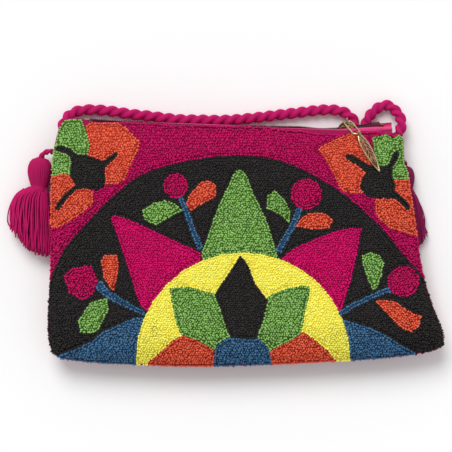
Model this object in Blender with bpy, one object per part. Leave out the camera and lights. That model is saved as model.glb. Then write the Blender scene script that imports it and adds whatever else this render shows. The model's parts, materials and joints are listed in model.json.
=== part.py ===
# Embroidered zip clutch, lying on its back with its front face up.
# +X runs along the zip, +Y points from the bottom seam to the zip, +Z points away from the table.
# The origin is the middle of the flat face that the back panel rests on.

import math

import bmesh
import bpy
from mathutils import Vector
from mathutils.bvhtree import BVHTree
from mathutils.geometry import delaunay_2d_cdt

MM = 0.001

# Cloth bag: two canvas panels that meet at a seam along the sides and the bottom
SEAM_HEIGHT = 17 * MM
FRONT_RISE = 18 * MM
FRONT_SHOULDER = 34 * MM
BACK_DROP = 19.5 * MM
BACK_SHOULDER = 80 * MM
BROW = 60 * MM
CANVAS = 1.2 * MM
GAP = 0.3 * MM
FRONT_LIP = 6.6 * MM
BACK_LIP = 7.6 * MM
FRONT_MESH = 15 * MM
BACK_MESH = 13 * MM
HEM_RINGS = (6 * MM, 15 * MM)

# Loop pile that covers the front panel, one raised field for each colour
PILE = 2.5 * MM
PILE_EDGE = 1.7 * MM
PILE_SEAM = 0.4 * MM
PILE_MARGIN = 1.2 * MM

# Zip: a straight chain whose face leans towards the front of the bag
CHAIN_LEFT = Vector((-126 * MM, 96.5 * MM, SEAM_HEIGHT))
CHAIN_RIGHT = Vector((115 * MM, 90.4 * MM, SEAM_HEIGHT))
ZIP_LEAN = math.radians(25)
COIL_WIDTH = 1.1 * MM
COIL_HEIGHT = 1.8 * MM
COIL_PITCH = 6 * MM
CLOSED_SPACE = 0.45 * MM
OPEN_SPACE = 2.85 * MM
TAPE = 0.5 * MM
TAPE_FLAT = 5.2 * MM
TAPE_TUCK = 3.5 * MM
TAPE_BACK_TURN = 3.2 * MM
TAPE_END = 6 * MM
TAPE_WIDENS = 9 * MM
STOP_LENGTH = 3 * MM
TOP_STOP_AT = 231 * MM
BOTTOM_STOP_AT = 4 * MM

# Slider, wire ring and leaf-shaped pull
SLIDER_AT = 203.6 * MM
SLIDER_LENGTH = 12 * MM
PLATE = 0.9 * MM
FLANGE = 0.55 * MM
POST = 0.5 * MM
EYE_BASE = 8.5 * MM
EYE_NECK = 0.75 * MM
EYE_WIDTH = 5.2 * MM
EYE_WALL = 0.7 * MM
EYE_HOLE = 2.9 * MM
WIRE = 1.3 * MM
RING_HALF_WIDTH = 3.1 * MM
RING_LENGTH = 20 * MM
RING_TURN = math.radians(-23)
RING_DIP = math.radians(7)
LEAF_TURN = math.radians(-17.7)
LEAF_RISE = math.radians(6)
LEAF_LENGTH = 33.5 * MM
LEAF_HALF_WIDTH = 4.2 * MM
LEAF_PLATE = 1.2 * MM
BARREL = 1.9 * MM

# Strap: one twisted cord, laid along the zip, with a bight tucked under the bag
STRAP = 8 * MM
STRAP_STEP = 9.5 * MM
BIGHT_X = 88.75 * MM
BIGHT_RADIUS = 17 * MM
BIGHT_NECK_Y = 93 * MM
BIGHT_NECK = STRAP / 2 + GAP
BIGHT_DROP = math.sqrt((2 * BIGHT_RADIUS) ** 2 - (BIGHT_RADIUS + BIGHT_NECK) ** 2)
BIGHT_Y = BIGHT_NECK_Y - BIGHT_DROP
BIGHT_ROOM = 2.5 * MM

# Tassels at the two upper corners
TASSEL_CORD = 3.2 * MM
TASSEL_BINDING = 3.6 * MM


def in_mm(points):
    """Points written in millimetres, as vectors in metres."""
    return [Vector(point) * MM for point in points]


def smooth(points, steps, closed=False):
    """A Catmull-Rom curve through the points."""
    count = len(points)
    spans = count if closed else count - 1
    curve = []
    for span in range(spans):
        if closed:
            a, b, c, d = (points[(span + k) % count] for k in (-1, 0, 1, 2))
        else:
            b, c = points[span], points[span + 1]
            a = points[span - 1] if span else 2 * b - c
            d = points[span + 2] if span + 2 < count else 2 * c - b
        for step in range(steps):
            t = step / steps
            curve.append(
                0.5 * (2 * b + (c - a) * t + (2 * a - 5 * b + 4 * c - d) * t * t
                       + (3 * b - a - 3 * c + d) * t * t * t)
            )
    if not closed:
        curve.append(points[-1].copy())
    return curve


def even(points, step):
    """Points at equal steps along a polyline, ends kept."""
    length = sum((b - a).length for a, b in zip(points, points[1:]))
    count = max(2, round(length / step))
    result = [points[0].copy()]
    target = length / count
    walked = 0
    for a, b in zip(points, points[1:]):
        reach = (b - a).length
        while walked + reach >= target * len(result) - 1e-9 and len(result) < count:
            result.append(a.lerp(b, (target * len(result) - walked) / reach))
        walked += reach
    result.append(points[-1].copy())
    return result


def ease(t):
    """Smooth step from 0 to 1."""
    t = min(1, max(0, t))
    return t * t * (3 - 2 * t)


def chain_y(x):
    """Height of the zip's centre line in the plan."""
    share = (x - CHAIN_LEFT.x) / (CHAIN_RIGHT.x - CHAIN_LEFT.x)
    return CHAIN_LEFT.y + share * (CHAIN_RIGHT.y - CHAIN_LEFT.y)


# Outline of the bag, seen from the front
LIP_BACK_OFF = 4.3 * MM
LEFT_CORNER = in_mm([(-145.5, 84.7), (-143.4, 91), (-138.6, 95), (-131, 95.8), (-124, 94.4)])
TOP_LEFT_X = -117 * MM
TOP_RIGHT_X = 113 * MM
RIGHT_CORNER = in_mm([(118.5, 85.8), (121.4, 82.5)])
RIGHT_SIDE = in_mm([
    (121.4, 82.5), (121.7, 65.5), (124.7, 55), (127.8, 34.7), (130.9, 13.1), (134.8, -13.9),
    (140.9, -38.5), (150.2, -63.1), (153.2, -73.2), (151.2, -78.5), (144.8, -81.6),
])
BOTTOM = in_mm([
    (144.8, -81.6), (126.3, -84.9), (98.6, -87.8), (61.6, -90.1), (15.4, -92.4), (-30.8, -93.6),
    (-67.8, -93), (-95.5, -91.8), (-123.2, -90.1), (-141.7, -87.8),
])
LEFT_SIDE = in_mm([
    (-141.7, -87.8), (-149, -83.2), (-152.5, -69.3), (-152.3, -50.8), (-150.9, -27), (-150.3, 0),
    (-150.4, 30), (-149.4, 62), (-147.8, 75.5), (-145.5, 84.7),
])
SIDE_STEP = 9 * MM


def side_outline():
    """The seam down the right side, along the bottom and up the left side."""
    right = even(smooth(RIGHT_SIDE, 6), SIDE_STEP)
    bottom = even(smooth(BOTTOM, 6), SIDE_STEP)
    left = even(smooth(LEFT_SIDE, 6), SIDE_STEP)
    return right + bottom[1:] + left[1:]


def top_outline():
    """The edge of the panels beside the zip, from left to right."""
    left = smooth(LEFT_CORNER, 2)
    count = round((TOP_RIGHT_X - TOP_LEFT_X) / (1.5 * SIDE_STEP))
    edge = []
    for step in range(count + 1):
        x = TOP_LEFT_X + (TOP_RIGHT_X - TOP_LEFT_X) * step / count
        edge.append(Vector((x, chain_y(x) - LIP_BACK_OFF)))
    return left + edge + RIGHT_CORNER


SIDES = side_outline()
TOP = top_outline()
OUTLINE = SIDES + TOP[1:-1]


def distance(point, line):
    """Shortest distance from a point to a polyline."""
    best = 1.0
    for a, b in zip(line, line[1:]):
        along = b - a
        share = min(1, max(0, (point - a).dot(along) / along.length_squared))
        best = min(best, (point - a - share * along).length)
    return best


def swell(gap, reach, power):
    """How far a stuffed cloth has risen at a distance from its edge, from 0 to 1."""
    return 1 - (1 - min(gap / reach, 1)) ** power


def front_face(x, y):
    """Height of the outer face of the front canvas."""
    point = Vector((x, y))
    side = swell(distance(point, SIDES), FRONT_SHOULDER, 2.5)
    brow = swell(distance(point, TOP), BROW, 2)
    hem = GAP / 2 + CANVAS
    return SEAM_HEIGHT + hem + side * (FRONT_LIP - hem + (FRONT_RISE - FRONT_LIP) * brow)


def back_face(x, y):
    """Height of the outer face of the back canvas, flat where it rests."""
    point = Vector((x, y))
    side = swell(distance(point, SIDES), BACK_SHOULDER, 2.5)
    brow = swell(distance(point, TOP), BROW, 2)
    hem = GAP / 2 + CANVAS
    drop = side * (BACK_LIP - hem + (BACK_DROP - BACK_LIP) * brow)
    bight = distance(point, [Vector((BIGHT_X, BIGHT_Y)), Vector((BIGHT_X, BIGHT_Y + 0.05))])
    room = BIGHT_RADIUS + STRAP / 2 + BIGHT_ROOM
    lift = (STRAP + 2 * GAP) * (1 - ease((bight - room) / (1.2 * BIGHT_RADIUS)))
    return max(SEAM_HEIGHT - hem - drop, lift, 0)


def doubled_area(points):
    """Twice the area of a closed outline, above 0 where it runs anticlockwise."""
    return sum(a.x * b.y - b.x * a.y for a, b in zip(points, points[1:] + points[:1]))


def inset(points, amount):
    """A closed outline moved inwards, which is to its left when it runs anticlockwise."""
    turn = 1 if doubled_area(points) > 0 else -1
    result = []
    for before, point, after in zip(points[-1:] + points[:-1], points, points[1:] + points[:1]):
        first = (point - before).normalized()
        second = (after - point).normalized()
        normal = Vector((-first.y - second.y, first.x + second.x))
        if normal.length < 1e-6:
            normal = Vector((-first.y, first.x))
        normal.normalize()
        stretch = max(0.5, normal.dot(Vector((-first.y, first.x))))
        result.append(point + normal * (turn * amount / stretch))
    return result


def inside(point, outline):
    """Whether a point lies inside a closed outline."""
    odd = False
    for a, b in zip(outline, outline[1:] + outline[:1]):
        if (a.y > point.y) != (b.y > point.y):
            if point.x < a.x + (point.y - a.y) / (b.y - a.y) * (b.x - a.x):
                odd = not odd
    return odd


# Shapes of the embroidered fields
def disc(x, y, radius, sides, start=0.0):
    """A round or many-sided field."""
    centre = Vector((x, y))
    angles = [start + math.tau * k / sides for k in range(sides)]
    return [centre + radius * Vector((math.cos(angle), math.sin(angle))) for angle in angles]


def band(points, width_start, width_end):
    """A stem along a curve, tapering from one width to the other."""
    line = smooth(in_mm(points), 2)
    left = []
    right = []
    for index, point in enumerate(line):
        ahead = line[min(index + 1, len(line) - 1)] - line[max(index - 1, 0)]
        across = Vector((-ahead.y, ahead.x)).normalized()
        share = index / (len(line) - 1)
        half = (width_start + (width_end - width_start) * share) / 2
        left.append(point + across * half)
        right.append(point - across * half)
    return right + left[::-1]


def petal(points, steps=1):
    """A rounded field drawn through a few points."""
    return smooth(in_mm(points), steps, closed=True)


def joined(*sides):
    """A field with sharp corners, each side a curve through a few points."""
    outline = []
    for side in sides:
        outline += smooth(in_mm(side), 2 if len(side) > 2 else 1)[:-1]
    return outline


BLACK_ARCH = [
    (-150.2, -30), (-138.6, -3.9), (-120.1, 18.5), (-98.6, 40), (-80.1, 53.1), (-60.8, 60.1), (-27.7, 67),
    (10.8, 67.4), (37, 60.1), (57.8, 49.3), (77, 37), (96.3, 20), (108.6, 6.9), (118.6, -6.2), (127, -16.2),
    (135.5, -26.2), (141.4, -38.5),
]
SUN_DISC = (-2.3 * MM, -87.8 * MM, 82.4 * MM)


def sprig(name, stem, widths, orange, green, berry):
    """A stem that carries a berry and two leaves."""
    return [
        ("stem_" + name, "blue", band(stem, *widths)),
        ("orange_leaf_" + name, "orange", petal(orange)),
        ("green_leaf_" + name, "green", petal(green)),
        ("berry_" + name, "berry", berry),
    ]


def fields():
    """Name, colour and outline of each field, the lowest first."""
    sun = [
        ("black_half_disc", "black", joined(
            BLACK_ARCH,
            [(141.4, -38.5), (170, -42)],
            [(170, -42), (170, -110)],
            [(170, -110), (-170, -110)],
            [(-170, -110), (-170, -30)],
            [(-170, -30), (-150.2, -30)])),
        ("magenta_point_left", "triangle", joined(
            [(-60, -60), (-77, -49.5)],
            [(-77, -49.5), (-81.6, -44), (-86.8, -28.2), (-91, -15), (-96.5, 1.5), (-103.2, 20)],
            [(-103.2, 20), (-99.6, 22.8), (-82.9, 16.7), (-63.7, 7.7), (-34.5, -6)],
            [(-34.5, -6), (-40, -30), (-60, -60)])),
        ("magenta_point_right", "triangle", joined(
            [(60, -60), (40, -30), (26, -11.4)],
            [(26, -11.4), (35.9, -2.6), (51.3, 3.9), (66.2, 10.2), (77, 12.8), (88.2, 12.8)],
            [(88.2, 12.8), (84.7, -6.9), (80.1, -27), (72.5, -50.8)],
            [(72.5, -50.8), (60, -60)])),
        ("blue_corner_left", "blue", joined(
            [(-70, -53), (-78.9, -55.2), (-88, -56.2), (-98.6, -61.2), (-109.3, -65.5), (-117, -72)],
            [(-117, -72), (-127.8, -77), (-146.5, -84.7)],
            [(-146.5, -84.7), (-142, -100)],
            [(-142, -100), (-70, -100)],
            [(-70, -100), (-70, -53)])),
        ("blue_corner_right", "blue", joined(
            [(70, -100), (122, -100)],
            [(122, -100), (130, -81.5)],
            [(130, -81.5), (113.2, -72), (103.2, -66.7), (91.1, -61.6), (75.1, -57), (66, -56)],
            [(66, -56), (70, -100)])),
        ("green_peak", "green", joined(
            [(-25, -40), (-34.5, -6)],
            [(-34.5, -6), (-29.3, 6.9), (-23.1, 25.4), (-12.5, 48), (-8, 56), (-4.5, 57.6)],
            [(-4.5, 57.6), (0, 54), (6.4, 38), (14, 22.7), (19.5, 7.7), (24, -9)],
            [(24, -9), (10, -30), (-25, -40)])),
        ("yellow_half_disc", "yellow", disc(*SUN_DISC, 32)),
        ("green_petal_left", "green", joined(
            [(-58.5, -33.2), (-44.7, -32.2), (-31, -36), (-18, -41), (-12, -60), (-8, -72)],
            [(-8, -72), (-20, -86)],
            [(-20, -86), (-38, -80), (-50.4, -67), (-55, -52), (-58.5, -33.2)])),
        ("green_petal_right", "green", joined(
            [(14, -43), (21.8, -36.6), (39.8, -31.6), (48.4, -31.4)],
            [(48.4, -31.4), (47.8, -40), (44.5, -52), (42, -66), (30, -82)],
            [(30, -82), (2, -86), (14, -43)])),
        ("orange_petal_left", "orange", joined(
            [(-78, -100), (-76, -91), (-69.3, -84.7), (-57.4, -73.9), (-48.5, -68.8)],
            [(-48.5, -68.8), (-34.7, -73.6), (-22, -80.9)],
            [(-22, -80.9), (-20, -100)],
            [(-20, -100), (-78, -100)])),
        ("orange_petal_right", "orange", joined(
            [(15, -100), (17, -80.9)],
            [(17, -80.9), (25.4, -76.2), (34.7, -71.6), (43.9, -66.6)],
            [(43.9, -66.6), (51, -71), (60.1, -78.5), (68.5, -88), (70, -100)],
            [(70, -100), (15, -100)])),
        ("blue_heart", "blue", joined(
            [(-25, -100), (-24, -80), (-19.5, -73.6), (-8, -68)],
            [(-8, -68), (4, -68), (11.5, -73.2), (18.2, -80.5), (19.8, -100)],
            [(19.8, -100), (-25, -100)])),
        ("black_petal", "black", joined(
            [(-11.5, -70.6), (-15.8, -61.2), (-19, -50), (-23.9, -38.5)],
            [(-23.9, -38.5), (-19, -30), (-11.9, -20), (-4.4, -7.8)],
            [(-4.4, -7.8), (2, -17), (7, -30), (16.4, -42)],
            [(16.4, -42), (14, -54), (10.6, -63), (7.9, -71.3)],
            [(7.9, -71.3), (-11.5, -70.6)])),
    ]
    berry_low_left = petal([
        (-138.7, -23.7), (-133, -18), (-118.8, -15.1), (-112.8, -26.9), (-117.2, -38.5), (-125.3, -42.1),
        (-134.5, -37)])
    sprigs = (
        sprig("low_left",
              [(-113, -29), (-106, -37.2), (-97, -42.3), (-88, -47.3), (-77.5, -52.5)], (7 * MM, 3.8 * MM),
              [(-101.5, -36), (-109.2, -24.4), (-110.8, -12), (-109, -7.5), (-98.6, -7), (-97, -16),
               (-98.9, -28.2)],
              [(-106, -40), (-105.2, -50), (-112.4, -64.2), (-117.6, -67.4), (-126.5, -66.4), (-128.3, -57.7),
               (-118.8, -43.6)],
              berry_low_left)
        + sprig("high_left",
                [(-51.5, 38), (-46.6, 28), (-42.6, 16.6), (-38.8, 6.9), (-34.6, -3)], (4.2 * MM, 4.6 * MM),
                [(-42.2, 25.5), (-46.2, 31.5), (-43.6, 38), (-35.4, 47.5), (-29, 49.8), (-22.6, 45.6),
                 (-23, 36.8), (-35.4, 30.2)],
                [(-48.6, 26.4), (-54.7, 32.1), (-62, 34.2), (-71, 32.6), (-79.6, 26.4), (-77.6, 19.4),
                 (-68.8, 14.8), (-58.5, 21.2)],
                disc(-53.8 * MM, 45.3 * MM, 9.7 * MM, 11, 0.3))
        + sprig("high_right",
                [(41.6, 30), (36.4, 16.4), (30.6, 6.2), (24.4, -5)], (5 * MM, 5 * MM),
                [(37.8, 14.4), (42, 21), (49, 24.8), (60.6, 24.6), (66.2, 19), (64, 12.8), (53, 11.8),
                 (44, 12.8)],
                [(33, 16.8), (34.2, 25), (29.4, 35), (21.8, 41.7), (16, 37.4), (15.6, 28), (25, 23.4)],
                disc(46 * MM, 38.8 * MM, 12.2 * MM, 12, 0.3))
        + sprig("low_right",
                [(113.5, -32.6), (100.6, -37.2), (88, -43.2), (79.3, -47.6), (71.5, -53)], (4 * MM, 4.6 * MM),
                [(98.4, -42.8), (106.5, -41.6), (114.2, -43), (122, -49.4), (133, -54.8), (131.8, -62.8),
                 (125.8, -66.2), (117, -62.6), (106.5, -51.3)],
                [(97, -35), (93.4, -28), (88.6, -14), (88.4, -8.2), (94.6, -5.4), (101.6, -7.4), (105.2, -13),
                 (103.6, -23), (100.6, -31.6)],
                disc(119.8 * MM, -28 * MM, 12.1 * MM, 12, 0.3))
    )
    left_flower = [
        ("flower_left_orange_right", "orange", petal([
            (-123, 90), (-118, 91.2), (-112.4, 93.9), (-104, 93.6), (-96, 89), (-81.2, 78), (-82.9, 71.9),
            (-93, 49.4), (-98, 46.4), (-108, 46), (-116, 52), (-125, 66), (-124, 79)])),
        ("flower_left_green_top", "green", petal([
            (-150, 84), (-142.6, 96), (-137, 99), (-129, 97.4), (-125, 92), (-121.4, 81.5), (-119.5, 75.4),
            (-121.4, 69), (-127, 66), (-134, 71), (-150, 74.6)])),
        ("flower_left_green_side", "green", petal([
            (-153, 74.6), (-145.1, 74.4), (-137, 71.4), (-131, 66), (-131, 58), (-133, 52), (-142, 50.4),
            (-153, 52)])),
        ("flower_left_orange_low", "orange", petal([
            (-155, 53), (-146, 52.6), (-139.4, 54.4), (-131, 53), (-127, 46), (-117, 40.8), (-116.4, 32.1),
            (-121.4, 27), (-134.2, 18), (-140.5, 14), (-155, 11.4)])),
        ("flower_left_black_heart", "black", joined(
            [(-133.2, 60.3), (-133.8, 66.4), (-138.1, 69.8), (-144.8, 72.2)],
            [(-144.8, 72.2), (-146, 75), (-140.7, 75.8), (-133.6, 73), (-129, 69), (-121.4, 68.2),
             (-110, 64.2), (-105.6, 66.6), (-100, 70.9)],
            [(-100, 70.9), (-98.2, 68), (-108, 59), (-107.4, 52), (-108.4, 45), (-113.7, 41.3), (-120.1, 43),
             (-127.8, 42.6), (-134, 38), (-141.9, 27.2)],
            [(-141.9, 27.2), (-145.7, 28.4), (-138.7, 37.9), (-129.8, 45.6)],
            [(-129.8, 45.6), (-134, 53.4), (-133.2, 60.3)])),
    ]
    right_flower = [
        ("flower_right_orange_left", "orange", joined(
            [(54.6, 73.4), (61.6, 78.3), (74.4, 84.8), (84.6, 84.4)],
            [(84.6, 84.4), (90.6, 75), (95, 62), (97, 50)],
            [(97, 50), (92, 40), (87.5, 39.6), (77, 39.8), (71.4, 43.8), (67, 53), (62.6, 61.8),
             (54.6, 73.4)])),
        ("flower_right_green", "green", joined(
            [(100, 59), (96.4, 81.2)],
            [(96.4, 81.2), (108.5, 83.4), (112.6, 81.8), (117, 85.6)],
            [(117, 85.6), (127, 86)],
            [(127, 86), (127, 50)],
            [(127, 50), (118, 49.6), (110, 50), (100, 59)])),
        ("flower_right_orange_low", "orange", joined(
            [(108, 45), (110, 49.6), (119.4, 50), (127, 50)],
            [(127, 50), (138, 6.4)],
            [(138, 6.4), (131.5, 6.4), (117, 10.2), (108.6, 13.4), (100.4, 21), (98, 28), (98.6, 36)],
            [(98.6, 36), (108, 45)])),
        ("flower_right_black_heart", "black", joined(
            [(91.6, 54.8), (84, 61.4), (76.6, 65.6), (77.4, 68.8), (82.6, 68), (89.8, 63), (97, 60),
             (106.4, 60.2), (110.6, 66), (113.2, 71.6), (116.8, 70.6), (115, 65), (111.2, 58.6)],
            [(111.2, 58.6), (111.2, 52), (113.8, 46), (113, 41), (121.9, 33.4), (125, 28.6)],
            [(125, 28.6), (122.4, 26.8), (112.9, 35), (101, 35.4), (93.7, 36.6), (88.4, 41), (87.2, 46.4),
             (89.4, 51.4), (91.6, 54.8)])),
    ]
    return sun + sprigs + left_flower + right_flower


# Materials: colour, roughness and metallic value
FINISHES = {
    "ground": ((0.36, 0.006, 0.08), 0.95, 0.0),
    "triangle": ((0.42, 0.006, 0.09), 0.95, 0.0),
    "berry": ((0.28, 0.007, 0.06), 0.95, 0.0),
    "green": ((0.14, 0.26, 0.065), 0.95, 0.0),
    "orange": ((0.60, 0.09, 0.045), 0.95, 0.0),
    "yellow": ((0.80, 0.69, 0.09), 0.95, 0.0),
    "blue": ((0.038, 0.085, 0.145), 0.95, 0.0),
    "black": ((0.022, 0.022, 0.021), 0.95, 0.0),
    "backing": ((0.33, 0.01, 0.075), 0.9, 0.0),
    "tape": ((0.50, 0.045, 0.14), 0.8, 0.0),
    "coil": ((0.10, 0.004, 0.025), 0.5, 0.0),
    "yarn": ((0.37, 0.006, 0.095), 0.85, 0.0),
    "gold": ((0.83, 0.62, 0.30), 0.3, 1.0),
}


def finish(name):
    """The material of one finish, made once."""
    material = bpy.data.materials.get(name)
    if material is None:
        colour, roughness, metallic = FINISHES[name]
        material = bpy.data.materials.new(name)
        material.use_nodes = True
        shader = material.node_tree.nodes["Principled BSDF"]
        shader.inputs["Base Color"].default_value = (*colour, 1)
        shader.inputs["Roughness"].default_value = roughness
        shader.inputs["Metallic"].default_value = metallic
        material.diffuse_color = (*colour, 1)
    return material


def make(name, bm, look, parent=None):
    """An object from a bmesh, with its faces out and its material on."""
    bmesh.ops.recalc_face_normals(bm, faces=bm.faces)
    mesh = bpy.data.meshes.new(name)
    bm.to_mesh(mesh)
    bm.free()
    mesh.shade_smooth()
    mesh.set_sharp_from_angle(angle=math.radians(40))
    mesh.materials.append(finish(look))
    obj = bpy.data.objects.new(name, mesh)
    bpy.context.collection.objects.link(obj)
    obj.parent = parent
    return obj


def slab(name, points, triangles, top, under, look):
    """A closed sheet over triangles of the plan, between two heights."""
    used = sorted({corner for triangle in triangles for corner in triangle})
    bm = bmesh.new()
    upper = {k: bm.verts.new((*points[k], top(k))) for k in used}
    lower = {k: bm.verts.new((*points[k], under(k))) for k in used}
    borders = {}
    for a, b, c in triangles:
        bm.faces.new((upper[a], upper[b], upper[c]))
        bm.faces.new((lower[c], lower[b], lower[a]))
        for edge in ((a, b), (b, c), (c, a)):
            if (edge[1], edge[0]) in borders:
                del borders[edge[1], edge[0]]
            else:
                borders[edge] = True
    for a, b in borders:
        bm.faces.new((lower[a], lower[b], upper[b], upper[a]))
    return make(name, bm, look)


def grid_inside(outline, step, clear):
    """Staggered points inside an outline, kept clear of it."""
    closed = outline + outline[:1]
    left = min(p.x for p in outline)
    right = max(p.x for p in outline)
    low = min(p.y for p in outline)
    high = max(p.y for p in outline)
    points = []
    row = 0
    y = low
    while y < high:
        x = left + (step / 2 if row % 2 else 0)
        while x < right:
            point = Vector((x, y))
            if inside(point, outline) and distance(point, closed) > clear:
                points.append(point)
            x += step
        y += step * 0.87
        row += 1
    return points


def largest_piece(triangles):
    """The triangles of the largest part that hangs together by its edges."""
    by_edge = {}
    for index, triangle in enumerate(triangles):
        for a, b in zip(triangle, triangle[1:] + triangle[:1]):
            by_edge.setdefault(frozenset((a, b)), []).append(index)
    left = set(range(len(triangles)))
    best = []
    while left:
        piece = [left.pop()]
        for index in piece:
            triangle = triangles[index]
            for a, b in zip(triangle, triangle[1:] + triangle[:1]):
                for other in by_edge[frozenset((a, b))]:
                    if other in left:
                        left.remove(other)
                        piece.append(other)
        if len(piece) > len(best):
            best = piece
    return [triangles[index] for index in best]


def plan(outlines, extra):
    """A triangulation that follows every outline, and the outlines that each triangle lies in."""
    points = []
    faces = []
    for outline in outlines:
        faces.append(list(range(len(points), len(points) + len(outline))))
        points += outline if doubled_area(outline) > 0 else outline[::-1]
    points += extra
    corners, _, triangles, _, _, owners = delaunay_2d_cdt(points, [], faces, 1, 2e-5, True)
    return corners, [tuple(t) for t in triangles], [set(owner) for owner in owners]


def split(outline):
    """An outline with its long sides halved where the panel falls away to its hem."""
    result = []
    for a, b in zip(outline, outline[1:] + outline[:1]):
        result.append(a)
        middle = (a + b) / 2
        near = inside(middle, OUTLINE) and distance(middle, SIDES) < FRONT_SHOULDER
        if (b - a).length > FRONT_MESH / 1.6 and near:
            result.append(middle)
    return result


def hem_points():
    """Points in rings beside the seam, where the panel is steep."""
    points = []
    for amount in HEM_RINGS:
        points += even(inset(OUTLINE, amount), FRONT_MESH * 0.8)
    return points


def front_and_pile():
    """The front canvas, and the raised pile of each coloured field on it."""
    drawn = [(name, look, split(outline)) for name, look, outline in fields()]
    limit = inset(OUTLINE, PILE_MARGIN)
    outlines = [OUTLINE, limit] + [outline for _, _, outline in drawn]
    drawn_lines = [outline + outline[:1] for _, _, outline in drawn]
    rings = hem_points()
    extra = []
    for point in rings:
        if min(distance(point, line) for line in drawn_lines) > FRONT_MESH / 6:
            extra.append(point)
    for point in grid_inside(limit, FRONT_MESH, FRONT_MESH / 3):
        clear = min((point - other).length for other in rings)
        if clear > FRONT_MESH / 2 and min(distance(point, line) for line in drawn_lines) > FRONT_MESH / 3.5:
            extra.append(point)
    corners, triangles, owners = plan(outlines, extra)
    within = [(triangle, owner) for triangle, owner in zip(triangles, owners) if 0 in owner]
    canvas(corners, [triangle for triangle, _ in within])

    members = {"ground": []}
    looks = {"ground": "ground"}
    for name, look, _ in drawn:
        members[name] = []
        looks[name] = look
    names = ["ground"] + [name for name, _, _ in drawn]
    for triangle, owner in within:
        if 1 in owner:
            members[names[max(owner) - 1]].append(triangle)
    for name, triangles in members.items():
        pile(name, corners, largest_piece(triangles), looks[name])


def rims(triangles):
    """The border of some triangles, as the corner after each border corner."""
    after = {}
    for triangle in triangles:
        for a, b in zip(triangle, triangle[1:] + triangle[:1]):
            after[a, b] = True
    return {a: b for a, b in after if (b, a) not in after}


def canvas(corners, triangles):
    """The front canvas: its face follows the plan of the fields, and its inside is plain."""
    after = rims(triangles)
    loop = [next(iter(after))]
    while after[loop[-1]] != loop[0]:
        loop.append(after[loop[-1]])
    outline = [corners[k] for k in loop]
    rings = hem_points()
    middle = [
        point for point in grid_inside(outline, FRONT_MESH, FRONT_MESH / 2.2)
        if min((point - other).length for other in rings) > FRONT_MESH / 2
    ]
    inner, found, owners = plan([outline], rings + middle)
    inner_triangles = [triangle for triangle, owner in zip(found, owners) if 0 in owner]
    face = [Vector((*corner, front_face(*corner))) for corner in corners]
    tree = BVHTree.FromPolygons(face, triangles)
    bm = bmesh.new()
    upper = {k: bm.verts.new(face[k]) for k in sorted({k for triangle in triangles for k in triangle})}
    lower = []
    for point in inner:
        height = front_face(*point)
        hit = tree.ray_cast(Vector((*point, 1)), Vector((0, 0, -1)))[0]
        if hit is not None:
            height = min(height, hit.z)
        lower.append(bm.verts.new((*point, height - CANVAS)))
    for triangle in triangles:
        bm.faces.new([upper[k] for k in triangle])
    for triangle in inner_triangles:
        bm.faces.new([lower[k] for k in reversed(triangle)])
    for index, k in enumerate(loop):
        following = (index + 1) % len(loop)
        bm.faces.new((lower[index], lower[following], upper[loop[following]], upper[k]))
    make("front_panel", bm, "backing")


def pile(name, corners, triangles, look):
    """One raised field, drawn in at its rim so that a seam shows round it."""
    after = rims(triangles)
    before = {b: a for a, b in after.items()}
    places = {k: corners[k] for triangle in triangles for k in triangle}
    for k in after:
        if k in before:
            first = (corners[k] - corners[before[k]]).normalized()
            second = (corners[after[k]] - corners[k]).normalized()
            normal = Vector((-first.y - second.y, first.x + second.x))
            if normal.length > 0.3:
                places[k] = corners[k] + normal.normalized() * (PILE_SEAM / 2)
    ground = {k: front_face(*place) + GAP for k, place in places.items()}
    slab(
        "pile_" + name, places, triangles,
        lambda k: ground[k] + (PILE_EDGE if k in after else PILE),
        lambda k: ground[k],
        look,
    )


def back():
    """The back canvas, flat where it rests and lifted over the tucked strap."""
    room = BIGHT_RADIUS + STRAP / 2 + BIGHT_ROOM
    contour = [
        point for point in disc(BIGHT_X, BIGHT_Y, room + 0.4 * BIGHT_RADIUS, 18)
        if distance(point, OUTLINE + OUTLINE[:1]) > BACK_MESH / 3 and inside(point, OUTLINE)
    ]
    extra = [
        point for point in grid_inside(OUTLINE, BACK_MESH, BACK_MESH / 2.2)
        if all((point - other).length > BACK_MESH / 3 for other in contour)
    ]
    corners, triangles, owners = plan([OUTLINE], contour + extra)
    heights = [back_face(*corner) for corner in corners]
    triangles = [t for t, owner in zip(triangles, owners) if 0 in owner]
    slab("back_panel", corners, triangles, lambda k: heights[k] + CANVAS, lambda k: heights[k], "backing")


# Zip frame: s along the chain, n out of its face, t across it towards the front panel
CHAIN = CHAIN_RIGHT - CHAIN_LEFT
S_AXIS = CHAIN.normalized()
N_AXIS = Vector((-S_AXIS.y * math.cos(ZIP_LEAN), S_AXIS.x * math.cos(ZIP_LEAN), math.sin(ZIP_LEAN)))
T_AXIS = S_AXIS.cross(N_AXIS)


def zip_point(s, n, t):
    """A point of the zip, measured from the left end of the chain."""
    return CHAIN_LEFT + S_AXIS * s + N_AXIS * n + T_AXIS * t


def chain_space(s):
    """Half the space between the two rows of teeth, closed left of the slider and open right of it."""
    share = (s - SLIDER_AT + SLIDER_LENGTH / 2) / SLIDER_LENGTH
    return CLOSED_SPACE + (OPEN_SPACE - CLOSED_SPACE) * ease(share)


def tube_of_sections(bm, sections):
    """Quads between closed sections, with both ends filled."""
    rings = [[bm.verts.new(point) for point in section] for section in sections]
    for first, second in zip(rings, rings[1:]):
        for k in range(len(first)):
            after = (k + 1) % len(first)
            bm.faces.new((first[k], first[after], second[after], second[k]))
    bm.faces.new(rings[0][::-1])
    bm.faces.new(rings[-1])


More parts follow.
